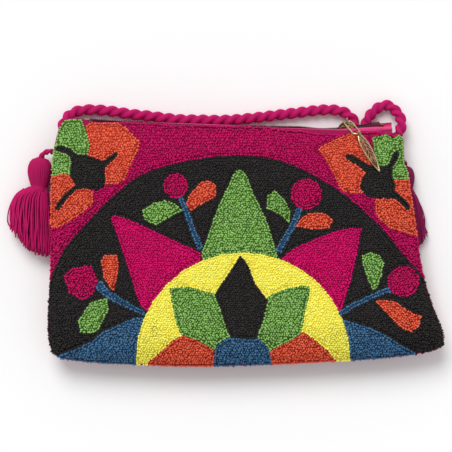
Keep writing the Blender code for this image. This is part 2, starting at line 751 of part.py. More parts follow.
def coil(name, side):
    """One row of the zip's teeth, on the front (+1) or the back (-1) tape."""
    bm = bmesh.new()
    first = BOTTOM_STOP_AT + STOP_LENGTH / 2 + GAP
    last = TOP_STOP_AT - STOP_LENGTH / 2 - GAP
    count = round((last - first) / COIL_PITCH) * 3
    sections = []
    for step in range(count + 1):
        s = first + (last - first) * step / count
        inner = chain_space(s)
        crest = COIL_HEIGHT / 2 * (1 if step % 3 else 0.78)
        sections.append([
            zip_point(s, n, side * t)
            for n, t in ((-crest, inner), (crest, inner), (crest, inner + COIL_WIDTH), (-crest, inner + COIL_WIDTH))
        ])
    tube_of_sections(bm, sections)
    return make(name, bm, "coil")


def tape(name, side):
    """One zip tape, flat beside the teeth and then turned in under its panel."""
    bm = bmesh.new()
    length = CHAIN.length - TAPE_END
    count = 18
    stations = {GAP + (length - 2 * GAP) * step / count for step in range(count + 1)}
    stations |= {SLIDER_AT + SLIDER_LENGTH * step / 16 for step in range(-8, 9)}
    sections = []
    for s in sorted(stations):
        inner = chain_space(s) + COIL_WIDTH + GAP
        base = zip_point(s, 0, 0)
        lip = lip_y(base.x)
        under = []
        for tuck in (0.6 * MM, TAPE_TUCK):
            if side > 0:
                height = min(front_face(base.x + reach, lip - tuck) for reach in (0, TAPE_END))
                height -= CANVAS + GAP + TAPE
            else:
                height = max(back_face(base.x + reach, lip - tuck) for reach in (0, TAPE_END))
                height += CANVAS + 2 * GAP + TAPE
            under.append(Vector((base.x, lip - tuck, height)))
        room = abs(under[0].z - SEAM_HEIGHT) / math.cos(ZIP_LEAN)
        narrow = max(inner + TAPE, min(TAPE_FLAT, 1.15 * room))
        flat = narrow + (TAPE_FLAT - narrow) * ease((s - TAPE_WIDENS) / TAPE_WIDENS)
        spine = [zip_point(s, 0, side * inner), zip_point(s, 0, side * flat)]
        if side > 0:
            spine.append(spine[1].lerp(under[0], 0.5) + T_AXIS * (0.3 * MM))
        else:
            spine.append(zip_point(s, -TAPE_BACK_TURN * flat / TAPE_FLAT, -flat - 0.8 * MM))
        spine += under
        first = []
        second = []
        for k, point in enumerate(spine):
            ahead = spine[min(k + 1, len(spine) - 1)] - spine[max(k - 1, 0)]
            across = ahead.cross(S_AXIS).normalized() * (side * TAPE / 2)
            first.append(point + across)
            second.append(point - across)
        sections.append(first + second[::-1])
    tube_of_sections(bm, sections)
    return make(name, bm, "tape")


def lip_y(x):
    """The edge of the panels beside the zip at one place along it."""
    for a, b in zip(TOP, TOP[1:]):
        if a.x <= x <= b.x:
            return a.y + (b.y - a.y) * (x - a.x) / (b.x - a.x)
    return TOP[-1].y


def block(s0, s1, n0, n1, t0, t1, bm):
    """A straight-sided block in the zip's frame."""
    tube_of_sections(bm, [
        [zip_point(s, n, t) for n, t in ((n0, t0), (n1, t0), (n1, t1), (n0, t1))]
        for s in (s0, s1)
    ])


def stops():
    """The metal stops that end the slider's run."""
    half = STOP_LENGTH / 2
    for name, side in (("top_stop_front", 1), ("top_stop_back", -1)):
        bm = bmesh.new()
        inner = OPEN_SPACE
        t0, t1 = sorted((side * inner, side * (inner + COIL_WIDTH)))
        block(TOP_STOP_AT - half, TOP_STOP_AT + half, -COIL_HEIGHT / 2, COIL_HEIGHT / 2, t0, t1, bm)
        make(name, bm, "gold")
    bm = bmesh.new()
    reach = CLOSED_SPACE + COIL_WIDTH
    block(BOTTOM_STOP_AT - half, BOTTOM_STOP_AT + half, -COIL_HEIGHT / 2, COIL_HEIGHT / 2, -reach, reach, bm)
    make("bottom_stop", bm, "gold")


def cut(obj, cutter, operation="DIFFERENCE"):
    """Applies an exact boolean with a second object, which is then removed."""
    modifier = obj.modifiers.new("cut", "BOOLEAN")
    modifier.operation = operation
    modifier.solver = "EXACT"
    modifier.object = cutter
    bpy.context.view_layer.update()
    evaluated = obj.evaluated_get(bpy.context.evaluated_depsgraph_get())
    mesh = bpy.data.meshes.new_from_object(evaluated)
    obj.modifiers.remove(modifier)
    obj.data = mesh
    bpy.data.objects.remove(cutter)
    return obj


CHANNEL = COIL_HEIGHT / 2 + 2 * GAP
PLATE_TOP = CHANNEL + PLATE
EYE_LOW = PLATE_TOP + 0.35 * MM
EYE_TOP = EYE_LOW + EYE_HOLE + EYE_WALL
PIVOT = zip_point(SLIDER_AT, EYE_LOW + EYE_HOLE / 2, 0)


def slider():
    """The slider: two plates on a post, flanges round the tapes, and an eye for the ring."""
    channel_width = OPEN_SPACE + COIL_WIDTH + GAP
    slot = TAPE / 2 + GAP
    quarter = [
        (POST / 2, CHANNEL), (channel_width, CHANNEL), (channel_width, slot), (channel_width + FLANGE, slot),
        (channel_width + FLANGE, PLATE_TOP),
    ]
    section = (
        [(t, n) for t, n in quarter]
        + [(-t, n) for t, n in reversed(quarter)]
        + [(-t, -n) for t, n in quarter]
        + [(t, -n) for t, n in reversed(quarter)]
    )
    bm = bmesh.new()
    half = SLIDER_LENGTH / 2
    ends = ((-half, 0.62), (-half + 2.5 * MM, 1.0), (half - 1.2 * MM, 1.0), (half, 0.8))
    tube_of_sections(bm, [
        [zip_point(SLIDER_AT + s, n if abs(n) < PLATE_TOP else math.copysign(CHANNEL + PLATE * share, n), t)
         for t, n in section]
        for s, share in ends
    ])
    body = make("zip_slider", bm, "gold")

    bm = bmesh.new()
    profile = [
        (-EYE_BASE / 2, PLATE_TOP - 0.3 * MM), (EYE_BASE / 2, PLATE_TOP - 0.3 * MM),
        (1.2 * EYE_NECK, EYE_LOW + GAP), (EYE_NECK, EYE_TOP - 0.5 * EYE_WALL), (0.5 * EYE_NECK, EYE_TOP),
        (-0.5 * EYE_NECK, EYE_TOP), (-EYE_NECK, EYE_TOP - 0.5 * EYE_WALL), (-1.2 * EYE_NECK, EYE_LOW + GAP),
    ]
    tube_of_sections(bm, [
        [zip_point(SLIDER_AT + s, n, t) for s, n in profile] for t in (-EYE_WIDTH / 2, EYE_WIDTH / 2)
    ])
    eye = make("eye", bm, "gold")
    bm = bmesh.new()
    reach = EYE_WIDTH / 2 - EYE_WALL
    block(SLIDER_AT - EYE_BASE, SLIDER_AT + EYE_BASE, EYE_LOW, EYE_LOW + EYE_HOLE, -reach, reach, bm)
    cut(eye, make("hole", bm, "gold"))
    cut(body, eye, "UNION")
    return body


RING_FLAT = T_AXIS * math.cos(RING_TURN) - S_AXIS * math.sin(RING_TURN)
RING_AXIS = S_AXIS * math.cos(RING_TURN) + T_AXIS * math.sin(RING_TURN)
RING_ALONG = RING_FLAT * math.cos(RING_DIP) - N_AXIS * math.sin(RING_DIP)
END_CENTRE = PIVOT + RING_ALONG * (RING_LENGTH - RING_HALF_WIDTH)
LEAF_AXIS = RING_AXIS * math.cos(LEAF_TURN) + RING_ALONG * math.sin(LEAF_TURN)
LEAF_HINGE = END_CENTRE + RING_HALF_WIDTH * (
    RING_ALONG * math.cos(LEAF_TURN) - RING_AXIS * math.sin(LEAF_TURN)
)


def ring():
    """The wire ring that carries the pull, a round-ended loop through the slider's eye."""
    near = PIVOT + RING_ALONG * RING_HALF_WIDTH
    path = []
    arc = 8
    for k in range(arc + 1):
        angle = math.pi * k / arc
        path.append(END_CENTRE + RING_HALF_WIDTH * (RING_AXIS * math.cos(angle) + RING_ALONG * math.sin(angle)))
    for k in range(arc + 1):
        angle = math.pi * (1 + k / arc)
        path.append(near + RING_HALF_WIDTH * (RING_AXIS * math.cos(angle) + RING_ALONG * math.sin(angle)))
    normal = RING_AXIS.cross(RING_ALONG).normalized()
    bm = bmesh.new()
    rings = []
    sides = 8
    for k, point in enumerate(path):
        ahead = (path[(k + 1) % len(path)] - path[k - 1]).normalized()
        across = ahead.cross(normal).normalized()
        rings.append([
            bm.verts.new(point + WIRE / 2 * (
                across * math.cos(math.tau * j / sides) + normal * math.sin(math.tau * j / sides)))
            for j in range(sides)
        ])
    for k in range(len(rings)):
        first, second = rings[k], rings[(k + 1) % len(rings)]
        for j in range(sides):
            after = (j + 1) % sides
            bm.faces.new((first[j], first[after], second[after], second[j]))
    return make("pull_ring", bm, "gold")


def leaf_direction():
    """The way the pull points: square to its hinge, rising a little over the pile."""
    flat = Vector((LEAF_AXIS.y, -LEAF_AXIS.x, 0)).normalized()
    upright = LEAF_AXIS.cross(flat).normalized()
    level = upright.cross(LEAF_AXIS).normalized()
    angle = LEAF_RISE - math.asin(level.z)
    return level * math.cos(angle) + (upright if upright.z > 0 else -upright) * math.sin(angle)


LEAF_ALONG = leaf_direction()
LEAF_NORMAL = LEAF_AXIS.cross(LEAF_ALONG).normalized()
if LEAF_NORMAL.z < 0:
    LEAF_NORMAL = -LEAF_NORMAL


def leaf_point(along, across, up):
    """A point of the pull, measured from its hinge."""
    return LEAF_HINGE + LEAF_ALONG * along + LEAF_AXIS * across + LEAF_NORMAL * up


def leaf_half_width(along):
    """Half the width of the pull at a distance from its hinge."""
    t = (along - BARREL) / (LEAF_LENGTH - BARREL)
    t = min(1, max(0, t))
    return LEAF_HALF_WIDTH * math.sin(math.pi * (0.1 + 0.9 * t ** 0.8)) ** 0.8


def plate(outline, half_thickness, name):
    """A flat piece of the pull with the outline given as (along, across)."""
    bm = bmesh.new()
    tube_of_sections(bm, [[leaf_point(a, c, up) for a, c in outline] for up in (-half_thickness, half_thickness)])
    return make(name, bm, "gold")


def pull():
    """The openwork leaf: a barrel on the ring, a pointed plate, and slots between its veins."""
    count = 12
    stations = [BARREL * 0.7 + (LEAF_LENGTH - BARREL * 0.7) * k / count for k in range(count + 1)]
    right = [(a, max(0.25 * MM, leaf_half_width(a))) for a in stations]
    left = [(a, -w) for a, w in reversed(right)]
    body = plate(right + left, LEAF_PLATE / 2, "pull_leaf")

    sides = 12
    bm = bmesh.new()
    tube_of_sections(bm, [
        [leaf_point(BARREL * math.cos(math.tau * k / sides), across, BARREL * math.sin(math.tau * k / sides))
         for k in range(sides)]
        for across in (-1.1 * MM, 1.1 * MM)
    ])
    cut(body, make("barrel", bm, "gold"), "UNION")
    bore = WIRE / 2 + GAP + 0.12 * MM
    bm = bmesh.new()
    tube_of_sections(bm, [
        [leaf_point(bore * math.cos(math.tau * k / sides), across, bore * math.sin(math.tau * k / sides))
         for k in range(sides)]
        for across in (-3 * MM, 3 * MM)
    ])
    cut(body, make("bore", bm, "gold"))

    vein = 0.5 * MM
    rim = 0.8 * MM
    slots = 4
    first = 5 * MM
    span = (LEAF_LENGTH - 11.5 * MM) / slots
    for side in (-1, 1):
        for k in range(slots):
            near = first + span * k
            far = near + span - 2 * vein
            outline = [
                (near, side * vein), (far, side * vein),
                (far + 1.2 * MM, side * max(vein * 1.6, leaf_half_width(far + 1.2 * MM) - rim)),
                (near + 1.2 * MM, side * (leaf_half_width(near + 1.2 * MM) - rim)),
            ]
            cut(body, plate(outline, LEAF_PLATE, "slot"))
    hole = LEAF_LENGTH - 4.2 * MM
    outline = [
        (hole + 0.8 * MM * math.cos(math.tau * k / 8), 0.8 * MM * math.sin(math.tau * k / 8)) for k in range(8)
    ]
    cut(body, plate(outline, LEAF_PLATE, "tip_hole"))
    return body


# Strap route, from the left corner along the zip, under the bag and back to the right corner
STRAP_START = [(-147.9, 92.6, 15.4), (-147, 96.6, 13), (-143.4, 100.8, 8.5), (-137.5, 103.6, 5)]
STRAP_ALONG = [
    (-129.4, 104.8), (-112.4, 104.9), (-92.4, 102.2), (-70, 99.6), (-45, 98.2), (-16.2, 97.8),
    (12.3, 99), (33.9, 101), (52.4, 103.4), (66, 104.6), (76, 102.6), (82, 97.9),
]
STRAP_END = [(112.5, 106.4, 4.6), (119.4, 102.2, 7), (124, 96.2, 10.6), (125.6, 90, 14.2), (125.3, 86.6, 16)]


def strap_route():
    """The centre line of the strap."""
    low = STRAP / 2 + 0.05 * MM
    route = in_mm(STRAP_START)
    route += [Vector((x * MM, y * MM, low)) for x, y in STRAP_ALONG]
    turn = math.atan2(BIGHT_DROP, BIGHT_RADIUS + BIGHT_NECK)
    bight = []
    for share in (0, 0.5):
        angle = -turn * share
        bight.append((
            BIGHT_RADIUS * (math.cos(angle) - 1) - BIGHT_NECK, BIGHT_DROP + BIGHT_RADIUS * math.sin(angle)))
    for k in range(11):
        angle = math.pi - turn + (math.pi + 2 * turn) * k / 10
        bight.append((BIGHT_RADIUS * math.cos(angle), BIGHT_RADIUS * math.sin(angle)))
    bight += [(-x, y) for x, y in reversed(bight[:2])]
    route += [Vector((BIGHT_X + x, BIGHT_Y + y, low)) for x, y in bight]
    route += [Vector((x * MM, y * MM, low)) for x, y in ((95.6, 99.4), (103.4, 105.4))]
    route += in_mm(STRAP_END)
    return route


def strap():
    """The strap as a plain tube."""
    line = even(smooth(strap_route(), 8), STRAP_STEP)
    curve = bpy.data.curves.new("strap", "CURVE")
    curve.dimensions = "3D"
    curve.bevel_depth = STRAP / 2
    curve.bevel_resolution = 2
    curve.use_fill_caps = True
    spline = curve.splines.new("POLY")
    spline.points.add(len(line) - 1)
    for point, place in zip(spline.points, line):
        point.co = (*place, 1)
    curve.materials.append(finish("yarn"))
    obj = bpy.data.objects.new("strap", curve)
    bpy.context.collection.objects.link(obj)
    return obj


def lofted(name, top, bottom, stations, sides, ridges, look):
    """A soft body along a line: each station is its share of the length, half width and half height."""
    along = (bottom - top).normalized()
    across = Vector((-along.y, along.x, 0)).normalized()
    up = across.cross(along).normalized()
    up = up if up.z > 0 else -up
    bm = bmesh.new()
    sections = []
    for share, half_width, half_height, flute in stations:
        centre = top.lerp(bottom, share)
        section = []
        for k in range(sides):
            angle = math.tau * k / sides
            swing = 1 - flute * (k % 2) if ridges else 1
            section.append(
                centre + across * (half_width * swing * math.cos(angle)) + up * (half_height * swing * math.sin(angle)))
        sections.append(section)
    tube_of_sections(bm, sections)
    return make(name, bm, look)


def tassel(side, seam, crown, neck, tip, head_radius, skirt_half, skirt_height):
    """A tassel: a cord from the seam, a wrapped head, a binding and a skirt of yarn."""
    seam, crown, neck, tip = in_mm([seam, crown, neck, tip])
    along = (neck - crown).normalized()

    above = crown - along * (1.6 * TASSEL_CORD)
    line = even(smooth([seam, seam.lerp(above, 0.6), above, crown - along * GAP], 4), 3 * MM)
    bm = bmesh.new()
    sections = []
    for k, point in enumerate(line):
        ahead = (line[min(k + 1, len(line) - 1)] - line[max(k - 1, 0)]).normalized()
        first = ahead.cross(Vector((0.3, 0.2, 1))).normalized()
        second = ahead.cross(first)
        sections.append([
            point + TASSEL_CORD / 2 * (first * math.cos(math.tau * j / 8) + second * math.sin(math.tau * j / 8))
            for j in range(8)
        ])
    tube_of_sections(bm, sections)
    make("tassel_cord_" + side, bm, "yarn")

    r = head_radius * MM
    head = [(0, 0.3), (0.06, 0.55), (0.2, 0.86), (0.42, 1.0), (0.68, 0.92), (0.88, 0.74), (1, 0.66)]
    lofted("tassel_head_" + side, crown, neck, [(s, w * r, w * r, 0) for s, w in head], 14, False, "yarn")

    start = neck + along * GAP
    end = start + along * TASSEL_BINDING
    ring_profile = [(0, 0.7), (0.25, 0.84), (0.75, 0.84), (1, 0.7)]
    lofted("tassel_binding_" + side, start, end, [(s, w * r, w * r, 0) for s, w in ring_profile], 14, False, "yarn")

    start = end + along * (GAP + 0.08 * r)
    wide = skirt_half * MM
    high = skirt_height * MM
    skirt = [
        (0, 0.62 * r, 0.62 * r, 0.05), (0.12, 0.55 * wide, 0.95 * high, 0.08), (0.35, 0.88 * wide, high, 0.08),
        (0.62, wide, high, 0.08), (0.85, 0.93 * wide, 0.9 * high, 0.1), (1, 0.78 * wide, 0.75 * high, 0.14),
    ]
    lofted("tassel_skirt_" + side, start, tip, skirt, 40, True, "yarn")


def build():
    """Clears the scene and models the clutch."""
    for obj in list(bpy.data.objects):
        bpy.data.objects.remove(obj)
    front_and_pile()
    back()
    for name, side in (("front", 1), ("back", -1)):
        tape("zip_tape_" + name, side)
        coil("zip_coil_" + name, side)
    stops()
    slider()
    ring()
    pull()
    strap()
    tassel("left", (-149.3, 72.5, 16.2), (-159.6, 69.5, 8.9), (-160.6, 44.5, 8.9), (-166.2, -6, 8.6), 8.6, 14.8, 8.4)
    tassel("right", (122.6, 71.5, 14.2), (123.6, 60.6, 7.2), (124.8, 43.4, 6.6), (128.4, -1, 5), 6.2, 10.8, 4.6)


build()
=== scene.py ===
# Embroidered zip clutch, lying on its back on a pale table and seen from straight above.

import json
import math
import random

import bmesh
import bpy
import numpy as np
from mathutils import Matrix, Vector
from mathutils.bvhtree import BVHTree
from mathutils.kdtree import KDTree


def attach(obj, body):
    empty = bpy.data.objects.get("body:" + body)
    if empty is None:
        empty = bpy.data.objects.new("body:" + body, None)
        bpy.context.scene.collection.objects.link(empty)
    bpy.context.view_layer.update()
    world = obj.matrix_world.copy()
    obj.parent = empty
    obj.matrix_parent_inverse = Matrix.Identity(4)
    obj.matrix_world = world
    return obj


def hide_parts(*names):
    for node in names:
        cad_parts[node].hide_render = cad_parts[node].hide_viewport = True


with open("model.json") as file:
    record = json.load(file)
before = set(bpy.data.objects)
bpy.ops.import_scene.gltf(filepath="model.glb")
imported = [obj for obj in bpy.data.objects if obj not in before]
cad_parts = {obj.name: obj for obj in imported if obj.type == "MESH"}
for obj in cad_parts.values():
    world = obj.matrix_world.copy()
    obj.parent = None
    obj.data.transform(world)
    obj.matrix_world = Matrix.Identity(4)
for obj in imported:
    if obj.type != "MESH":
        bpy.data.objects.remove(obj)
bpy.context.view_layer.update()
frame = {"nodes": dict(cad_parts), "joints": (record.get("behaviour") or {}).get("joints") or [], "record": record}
nodes = frame["nodes"]

# Camera
# The clutch was photographed square on, with a long lens, so its edges show no convergence.
# The picture is 452 pixels wide and each pixel covers 0.77 mm at the height of the seam.
picture_width = 452 * 0.00077
picture_middle = Vector((-0.0154, 0.0146))
seam_height = 0.017
camera_distance = 2.4

camera_data = bpy.data.cameras.new("camera")
camera_data.lens = camera_data.sensor_width * camera_distance / picture_width
camera_data.clip_end = 10
camera = bpy.data.objects.new("camera", camera_data)
camera.location = (picture_middle.x, picture_middle.y, seam_height + camera_distance)
bpy.context.collection.objects.link(camera)
bpy.context.scene.camera = camera

# Strap
# Two plies of soft magenta wool yarn, twisted into a cord about 8 mm thick.
# It leaves the top left corner, lies along the zip, tucks a bight under the bag and ends at the right.
strap_ply = 0.0029
strap_ply_off = 0.0015
strap_first_pitch = 0.0184
strap_last_pitch = 0.0150
strap_strands = 7
strap_sides = 48
strap_step = 0.0007
strand_ripple = 0.045
off_table = 0.0001
strap_low = (1 + strand_ripple) * strap_ply + strap_ply_off + off_table
bight_x = 0.08875
bight_radius = 0.017
bight_neck = 0.0043
bight_drop = math.sqrt((2 * bight_radius) ** 2 - (bight_radius + bight_neck) ** 2)
bight_y = 0.093 - bight_drop
strap_start = [
    (-0.1392, 0.0846, 0.0125), (-0.1412, 0.0900, 0.0120), (-0.1402, 0.0950, 0.0105),
    (-0.1368, 0.0998, 0.0078), (-0.1315, 0.1031, 0.0052),
]
strap_along = [
    (-0.1201, 0.1046), (-0.1047, 0.1035), (-0.0893, 0.1012), (-0.0739, 0.0996), (-0.0531, 0.0971),
    (-0.0354, 0.0967), (-0.0200, 0.0964), (-0.0046, 0.0972), (0.0123, 0.0990), (0.0270, 0.1008),
    (0.0416, 0.1025), (0.0545, 0.1040), (0.0660, 0.1046), (0.0760, 0.1026), (0.0820, 0.0979),
]
strap_out = [(0.0956, 0.0996), (0.1030, 0.1064)]
strap_end = [
    (0.1098, 0.1078, 0.0047), (0.1153, 0.1040, 0.0062), (0.1190, 0.0985, 0.0090),
    (0.1198, 0.0918, 0.0118), (0.1176, 0.0852, 0.0128),
]


def curve_through(points, steps):
    """A smooth curve through the points, with even steps between each two."""
    curve = []
    for k in range(len(points) - 1):
        b, c = points[k], points[k + 1]
        a = points[k - 1] if k else 2 * b - c
        d = points[k + 2] if k + 2 < len(points) else 2 * c - b
        for step in range(steps):
            t = step / steps
            bend = (2 * a - 5 * b + 4 * c - d) * t * t + (3 * b - a - 3 * c + d) * t ** 3
            curve.append(0.5 * (2 * b + (c - a) * t + bend))
    curve.append(points[-1].copy())
    return curve


def evenly(points, step):
    """Points at equal steps along a line."""
    lengths = [0.0]
    for a, b in zip(points, points[1:]):
        lengths.append(lengths[-1] + (b - a).length)
    count = max(2, round(lengths[-1] / step))
    result = []
    k = 0
    for n in range(count + 1):
        target = lengths[-1] * n / count
        while k < len(points) - 2 and lengths[k + 1] < target:
            k += 1
        share = (target - lengths[k]) / (lengths[k + 1] - lengths[k])
        result.append(points[k].lerp(points[k + 1], min(1, max(0, share))))
    return result


def strap_route():
    """The centre line of the strap."""
    turn = math.atan2(bight_drop, bight_radius + bight_neck)
    bight = []
    for share in (0, 0.5):
        angle = -turn * share
        x = bight_radius * (math.cos(angle) - 1) - bight_neck
        bight.append((x, bight_drop + bight_radius * math.sin(angle)))
    for k in range(11):
        angle = math.pi - turn + (math.pi + 2 * turn) * k / 10
        bight.append((bight_radius * math.cos(angle), bight_radius * math.sin(angle)))
    bight += [(-x, y) for x, y in reversed(bight[:2])]
    route = [Vector(point) for point in strap_start]
    route += [Vector((x, y, strap_low)) for x, y in strap_along]
    route += [Vector((bight_x + x, bight_y + y, strap_low)) for x, y in bight]
    route += [Vector((x, y, strap_low)) for x, y in strap_out]
    route += [Vector(point) for point in strap_end]
    return route


def dressed(name, node, points, faces, body, finish, tones=(), stored="yarn"):
    """A piece that rides on a body in place of one plain solid, with its finish.

    tones are three numbers for each point, which the finish reads under the name stored.
    """
    mesh = bpy.data.meshes.new(name)
    mesh.from_pydata([tuple(point) for point in points], [], faces)
    mesh.update()
    mesh.shade_smooth()
    mesh.materials.append(finish)
    if len(tones):
        colours = np.ones((len(tones), 4), np.float32)
        colours[:, :3] = tones
        attribute = mesh.attributes.new(stored, "FLOAT_COLOR", "POINT")
        attribute.data.foreach_set("color", colours.ravel())
    piece = bpy.data.objects.new(name, mesh)
    bpy.context.collection.objects.link(piece)
    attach(piece, body)
    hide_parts(node)
    return piece


def carried_frame(line):
    """An across and an up direction at each point of a line, turning as little as they can."""
    ups = []
    acrosses = []
    up = Vector((0, 0, 1))
    for k in range(len(line)):
        ahead = (line[min(k + 1, len(line) - 1)] - line[max(k - 1, 0)]).normalized()
        up = (up - ahead * up.dot(ahead)).normalized()
        ups.append(up.copy())
        acrosses.append(up.cross(ahead).normalized())
    return acrosses, ups


def tube_faces(rings, sides, closed_ends=True):
    """The faces of a tube whose points run ring by ring."""
    faces = []
    for ring in range(rings - 1):
        low = ring * sides
        for side in range(sides):
            after = (side + 1) % sides
            faces.append((low + side, low + after, low + sides + after, low + sides + side))
    if closed_ends:
        faces.append(tuple(reversed(range(sides))))
        faces.append(tuple((rings - 1) * sides + side for side in range(sides)))
    return faces


def twisted_cord(line, ply, ply_off, first_pitch, last_pitch, sides, strands):
    """Two plies wound round each other, as one closed surface with a groove between them."""
    acrosses, ups = carried_frame(line)
    points = []
    tones = []
    turned = 0.0
    walked = 0.0
    length = sum((b - a).length for a, b in zip(line, line[1:]))
    for k, centre in enumerate(line):
        if k:
            step = (centre - line[k - 1]).length
            walked += step
            pitch = first_pitch + (last_pitch - first_pitch) * walked / length
            turned += math.tau * step / pitch
        for side in range(sides):
            angle = math.tau * side / sides
            lobe = (angle + turned) % math.pi
            lobe = lobe if lobe < math.pi / 2 else lobe - math.pi
            reach = ply_off * math.cos(lobe)
            reach += math.sqrt(max(0, ply ** 2 - (ply_off * math.sin(lobe)) ** 2))
            round_ply = math.atan2(reach * math.sin(lobe), reach * math.cos(lobe) - ply_off)
            strand = math.cos(strands * round_ply + 2.2 * turned)
            bulge = reach + strand_ripple * ply * strand
            points.append(
                centre + acrosses[k] * (bulge * math.cos(angle)) + ups[k] * (bulge * math.sin(angle)))
            # depth falls to nothing in the groove between the plies, where the finish paints shade, and strand
            # peaks on the raised strands, which the finish paints lighter as a highlight.
            depth = (reach - (ply_off + ply) * 0.35) / ((ply_off + ply) * 0.65)
            tones.append((min(1, max(0, depth)), 0.5 + 0.5 * strand, walked / length))
    return points, tube_faces(len(line), sides), tones


strap_line = evenly(curve_through(strap_route(), 10), strap_step)
strap_points, strap_faces, strap_tones = twisted_cord(
    strap_line, strap_ply, strap_ply_off, strap_first_pitch, strap_last_pitch, strap_sides, strap_strands)
strap_length = sum((b - a).length for a, b in zip(strap_line, strap_line[1:]))


class Wire:
    """A socket in a material's nodes. Sums of wires and numbers add the Math nodes that work them out."""

    def __init__(self, tree, socket=None):
        self.tree = tree
        self.socket = socket

    def node(self, kind, inputs, output=0, stops=(), **settings):
        """One node: its settings and a ramp's stops first, then its sockets. Gives one output."""
        made = self.tree.nodes.new(kind)
        for setting, value in settings.items():
            setattr(made, setting, value)
        for index, (place, colour) in enumerate(stops):
            elements = made.color_ramp.elements
            stop = elements[index] if index < len(elements) else elements.new(place)
            stop.position = place
            stop.color = (*colour, 1)
        self.fill(made, inputs)
        return Wire(self.tree, made.outputs[output])

    def fill(self, made, inputs):
        """Sets or links a node's input sockets."""
        for socket, value in inputs.items():
            if isinstance(value, Wire):
                self.tree.links.new(value.socket, made.inputs[socket])
            else:
                made.inputs[socket].default_value = value

    def parts(self, kind):
        """The numbers that a vector or a colour holds."""
        made = self.tree.nodes.new(kind)
        self.fill(made, {0: self})
        return [Wire(self.tree, output) for output in made.outputs]

    def stored(self, name):
        """The three numbers that the points of a piece store under a name."""
        colour = self.node("ShaderNodeAttribute", {}, output="Color", attribute_name=name)
        return colour.parts("ShaderNodeSeparateColor")

    def place(self):
        """The place on the piece, in metres."""
        return self.node("ShaderNodeTexCoord", {}, output="Object")

    def noise(self, scale, detail):
        """Noise over the places on the piece."""
        return self.node("ShaderNodeTexNoise", {"Vector": self.place(), "Scale": scale, "Detail": detail})

    def bump(self, height, strength, distance):
        """A normal that stands in for relief too fine for the mesh."""
        return self.node(
            "ShaderNodeBump", {"Height": height, "Strength": strength, "Distance": distance})

    def sum(self, operation, first, second):
        """A Math node of two numbers or wires."""
        return self.node("ShaderNodeMath", {0: first, 1: second}, operation=operation)

    def __add__(self, other):
        return self.sum("ADD", self, other)

    def __radd__(self, other):
        return self.sum("ADD", other, self)

    def __sub__(self, other):
        return self.sum("SUBTRACT", self, other)

    def __rsub__(self, other):
        return self.sum("SUBTRACT", other, self)

    def __mul__(self, other):
        return self.sum("MULTIPLY", self, other)

    def __rmul__(self, other):
        return self.sum("MULTIPLY", other, self)


def material(name, **constants):
    """A material with the given plain values, a wire for its nodes, and its shader."""
    made = bpy.data.materials.new(name)
    made.use_nodes = True
    shader = made.node_tree.nodes["Principled BSDF"]
    for socket, value in constants.items():
        shader.inputs[socket.replace("_", " ")].default_value = value
    return made, Wire(made.node_tree), shader


def colour_mix(wire, factor, first, second):
    """A Mix node for colours, whose colour sockets follow those for numbers and vectors."""
    made = wire.tree.nodes.new("ShaderNodeMix")
    made.data_type = "RGBA"
    wire.fill(made, {0: factor, 6: first, 7: second})
    return Wire(wire.tree, made.outputs[2])


def dyed(colour, share):
    """A colour made lighter or darker, as a shader takes it."""
    return (*(min(1, channel * share) for channel in colour), 1)


def yarn_material(name, colour, shade):
    """Soft wool yarn: painted shade in its grooves, painted highlights on its strands, and fine fibres of random
    tone.
    """
    made, wire, shader = material(name, Roughness=0.9, Specular_IOR_Level=0.2)
    depth, strand, _ = wire.stored("yarn")
    fibres = wire.noise(1400, 2)
    # The first stored number paints shade into grooves and gaps, and on the tassels it also carries each strand's
    # own tone. The second paints the cords' strand crowns lighter and holds each tassel strand's own tone. The
    # fibres are random tone.
    light = depth * 0.55 + strand * 0.25 + fibres * 0.4
    wire.fill(shader, {
        "Base Color": colour_mix(wire, light, dyed(colour, shade), dyed(colour, 1.25)),
        "Normal": wire.bump(strand * 0.6 + fibres * 0.4, 0.5, 0.0003),
    })
    return made


strap_yarn = yarn_material("magenta_yarn", (0.46, 0.006, 0.115), 0.45)
strap = dressed("strap_cord", "strap", strap_points, strap_faces, "bag", strap_yarn, strap_tones)

# Front canvas
# A plain woven cotton panel that carries the pile and meets the back panel in a seam.
# Only its hem shows, beside the pile, and its inside through the open zip.
canvas_gap = 0.0003
least_upward = 0.12
canvas_rounding = 0.75


def merged(piece):
    """The points of a mesh with each place kept once, and its triangles."""
    mesh = piece.data
    mesh.calc_loop_triangles()
    places = {}
    points = []
    index = []
    for vertex in mesh.vertices:
        key = tuple(round(c * 1e6) for c in vertex.co)
        if key not in places:
            places[key] = len(points)
            points.append(vertex.co.copy())
        index.append(places[key])
    triangles = []
    for triangle in mesh.loop_triangles:
        corners = [index[k] for k in triangle.vertices]
        if len(set(corners)) == 3:
            triangles.append(tuple(corners))
    return points, triangles


def upper_side(points, triangles):
    """The triangles that face up."""
    upper = []
    for a, b, c in triangles:
        normal = (points[b] - points[a]).cross(points[c] - points[a])
        if normal.length > 0 and normal.z / normal.length > least_upward:
            upper.append((a, b, c))
    return upper


canvas_points, canvas_triangles = merged(nodes["front_panel"])
canvas_upper = upper_side(canvas_points, canvas_triangles)
canvas_tree = BVHTree.FromPolygons(canvas_points, canvas_upper)
canvas_normals = [Vector() for _ in canvas_points]
for a, b, c in canvas_upper:
    slope = (canvas_points[b] - canvas_points[a]).cross(canvas_points[c] - canvas_points[a])
    for corner in (a, b, c):
        canvas_normals[corner] += slope
canvas_normals = [
    normal.normalized() if normal.length else Vector((0, 0, 1)) for normal in canvas_normals
]


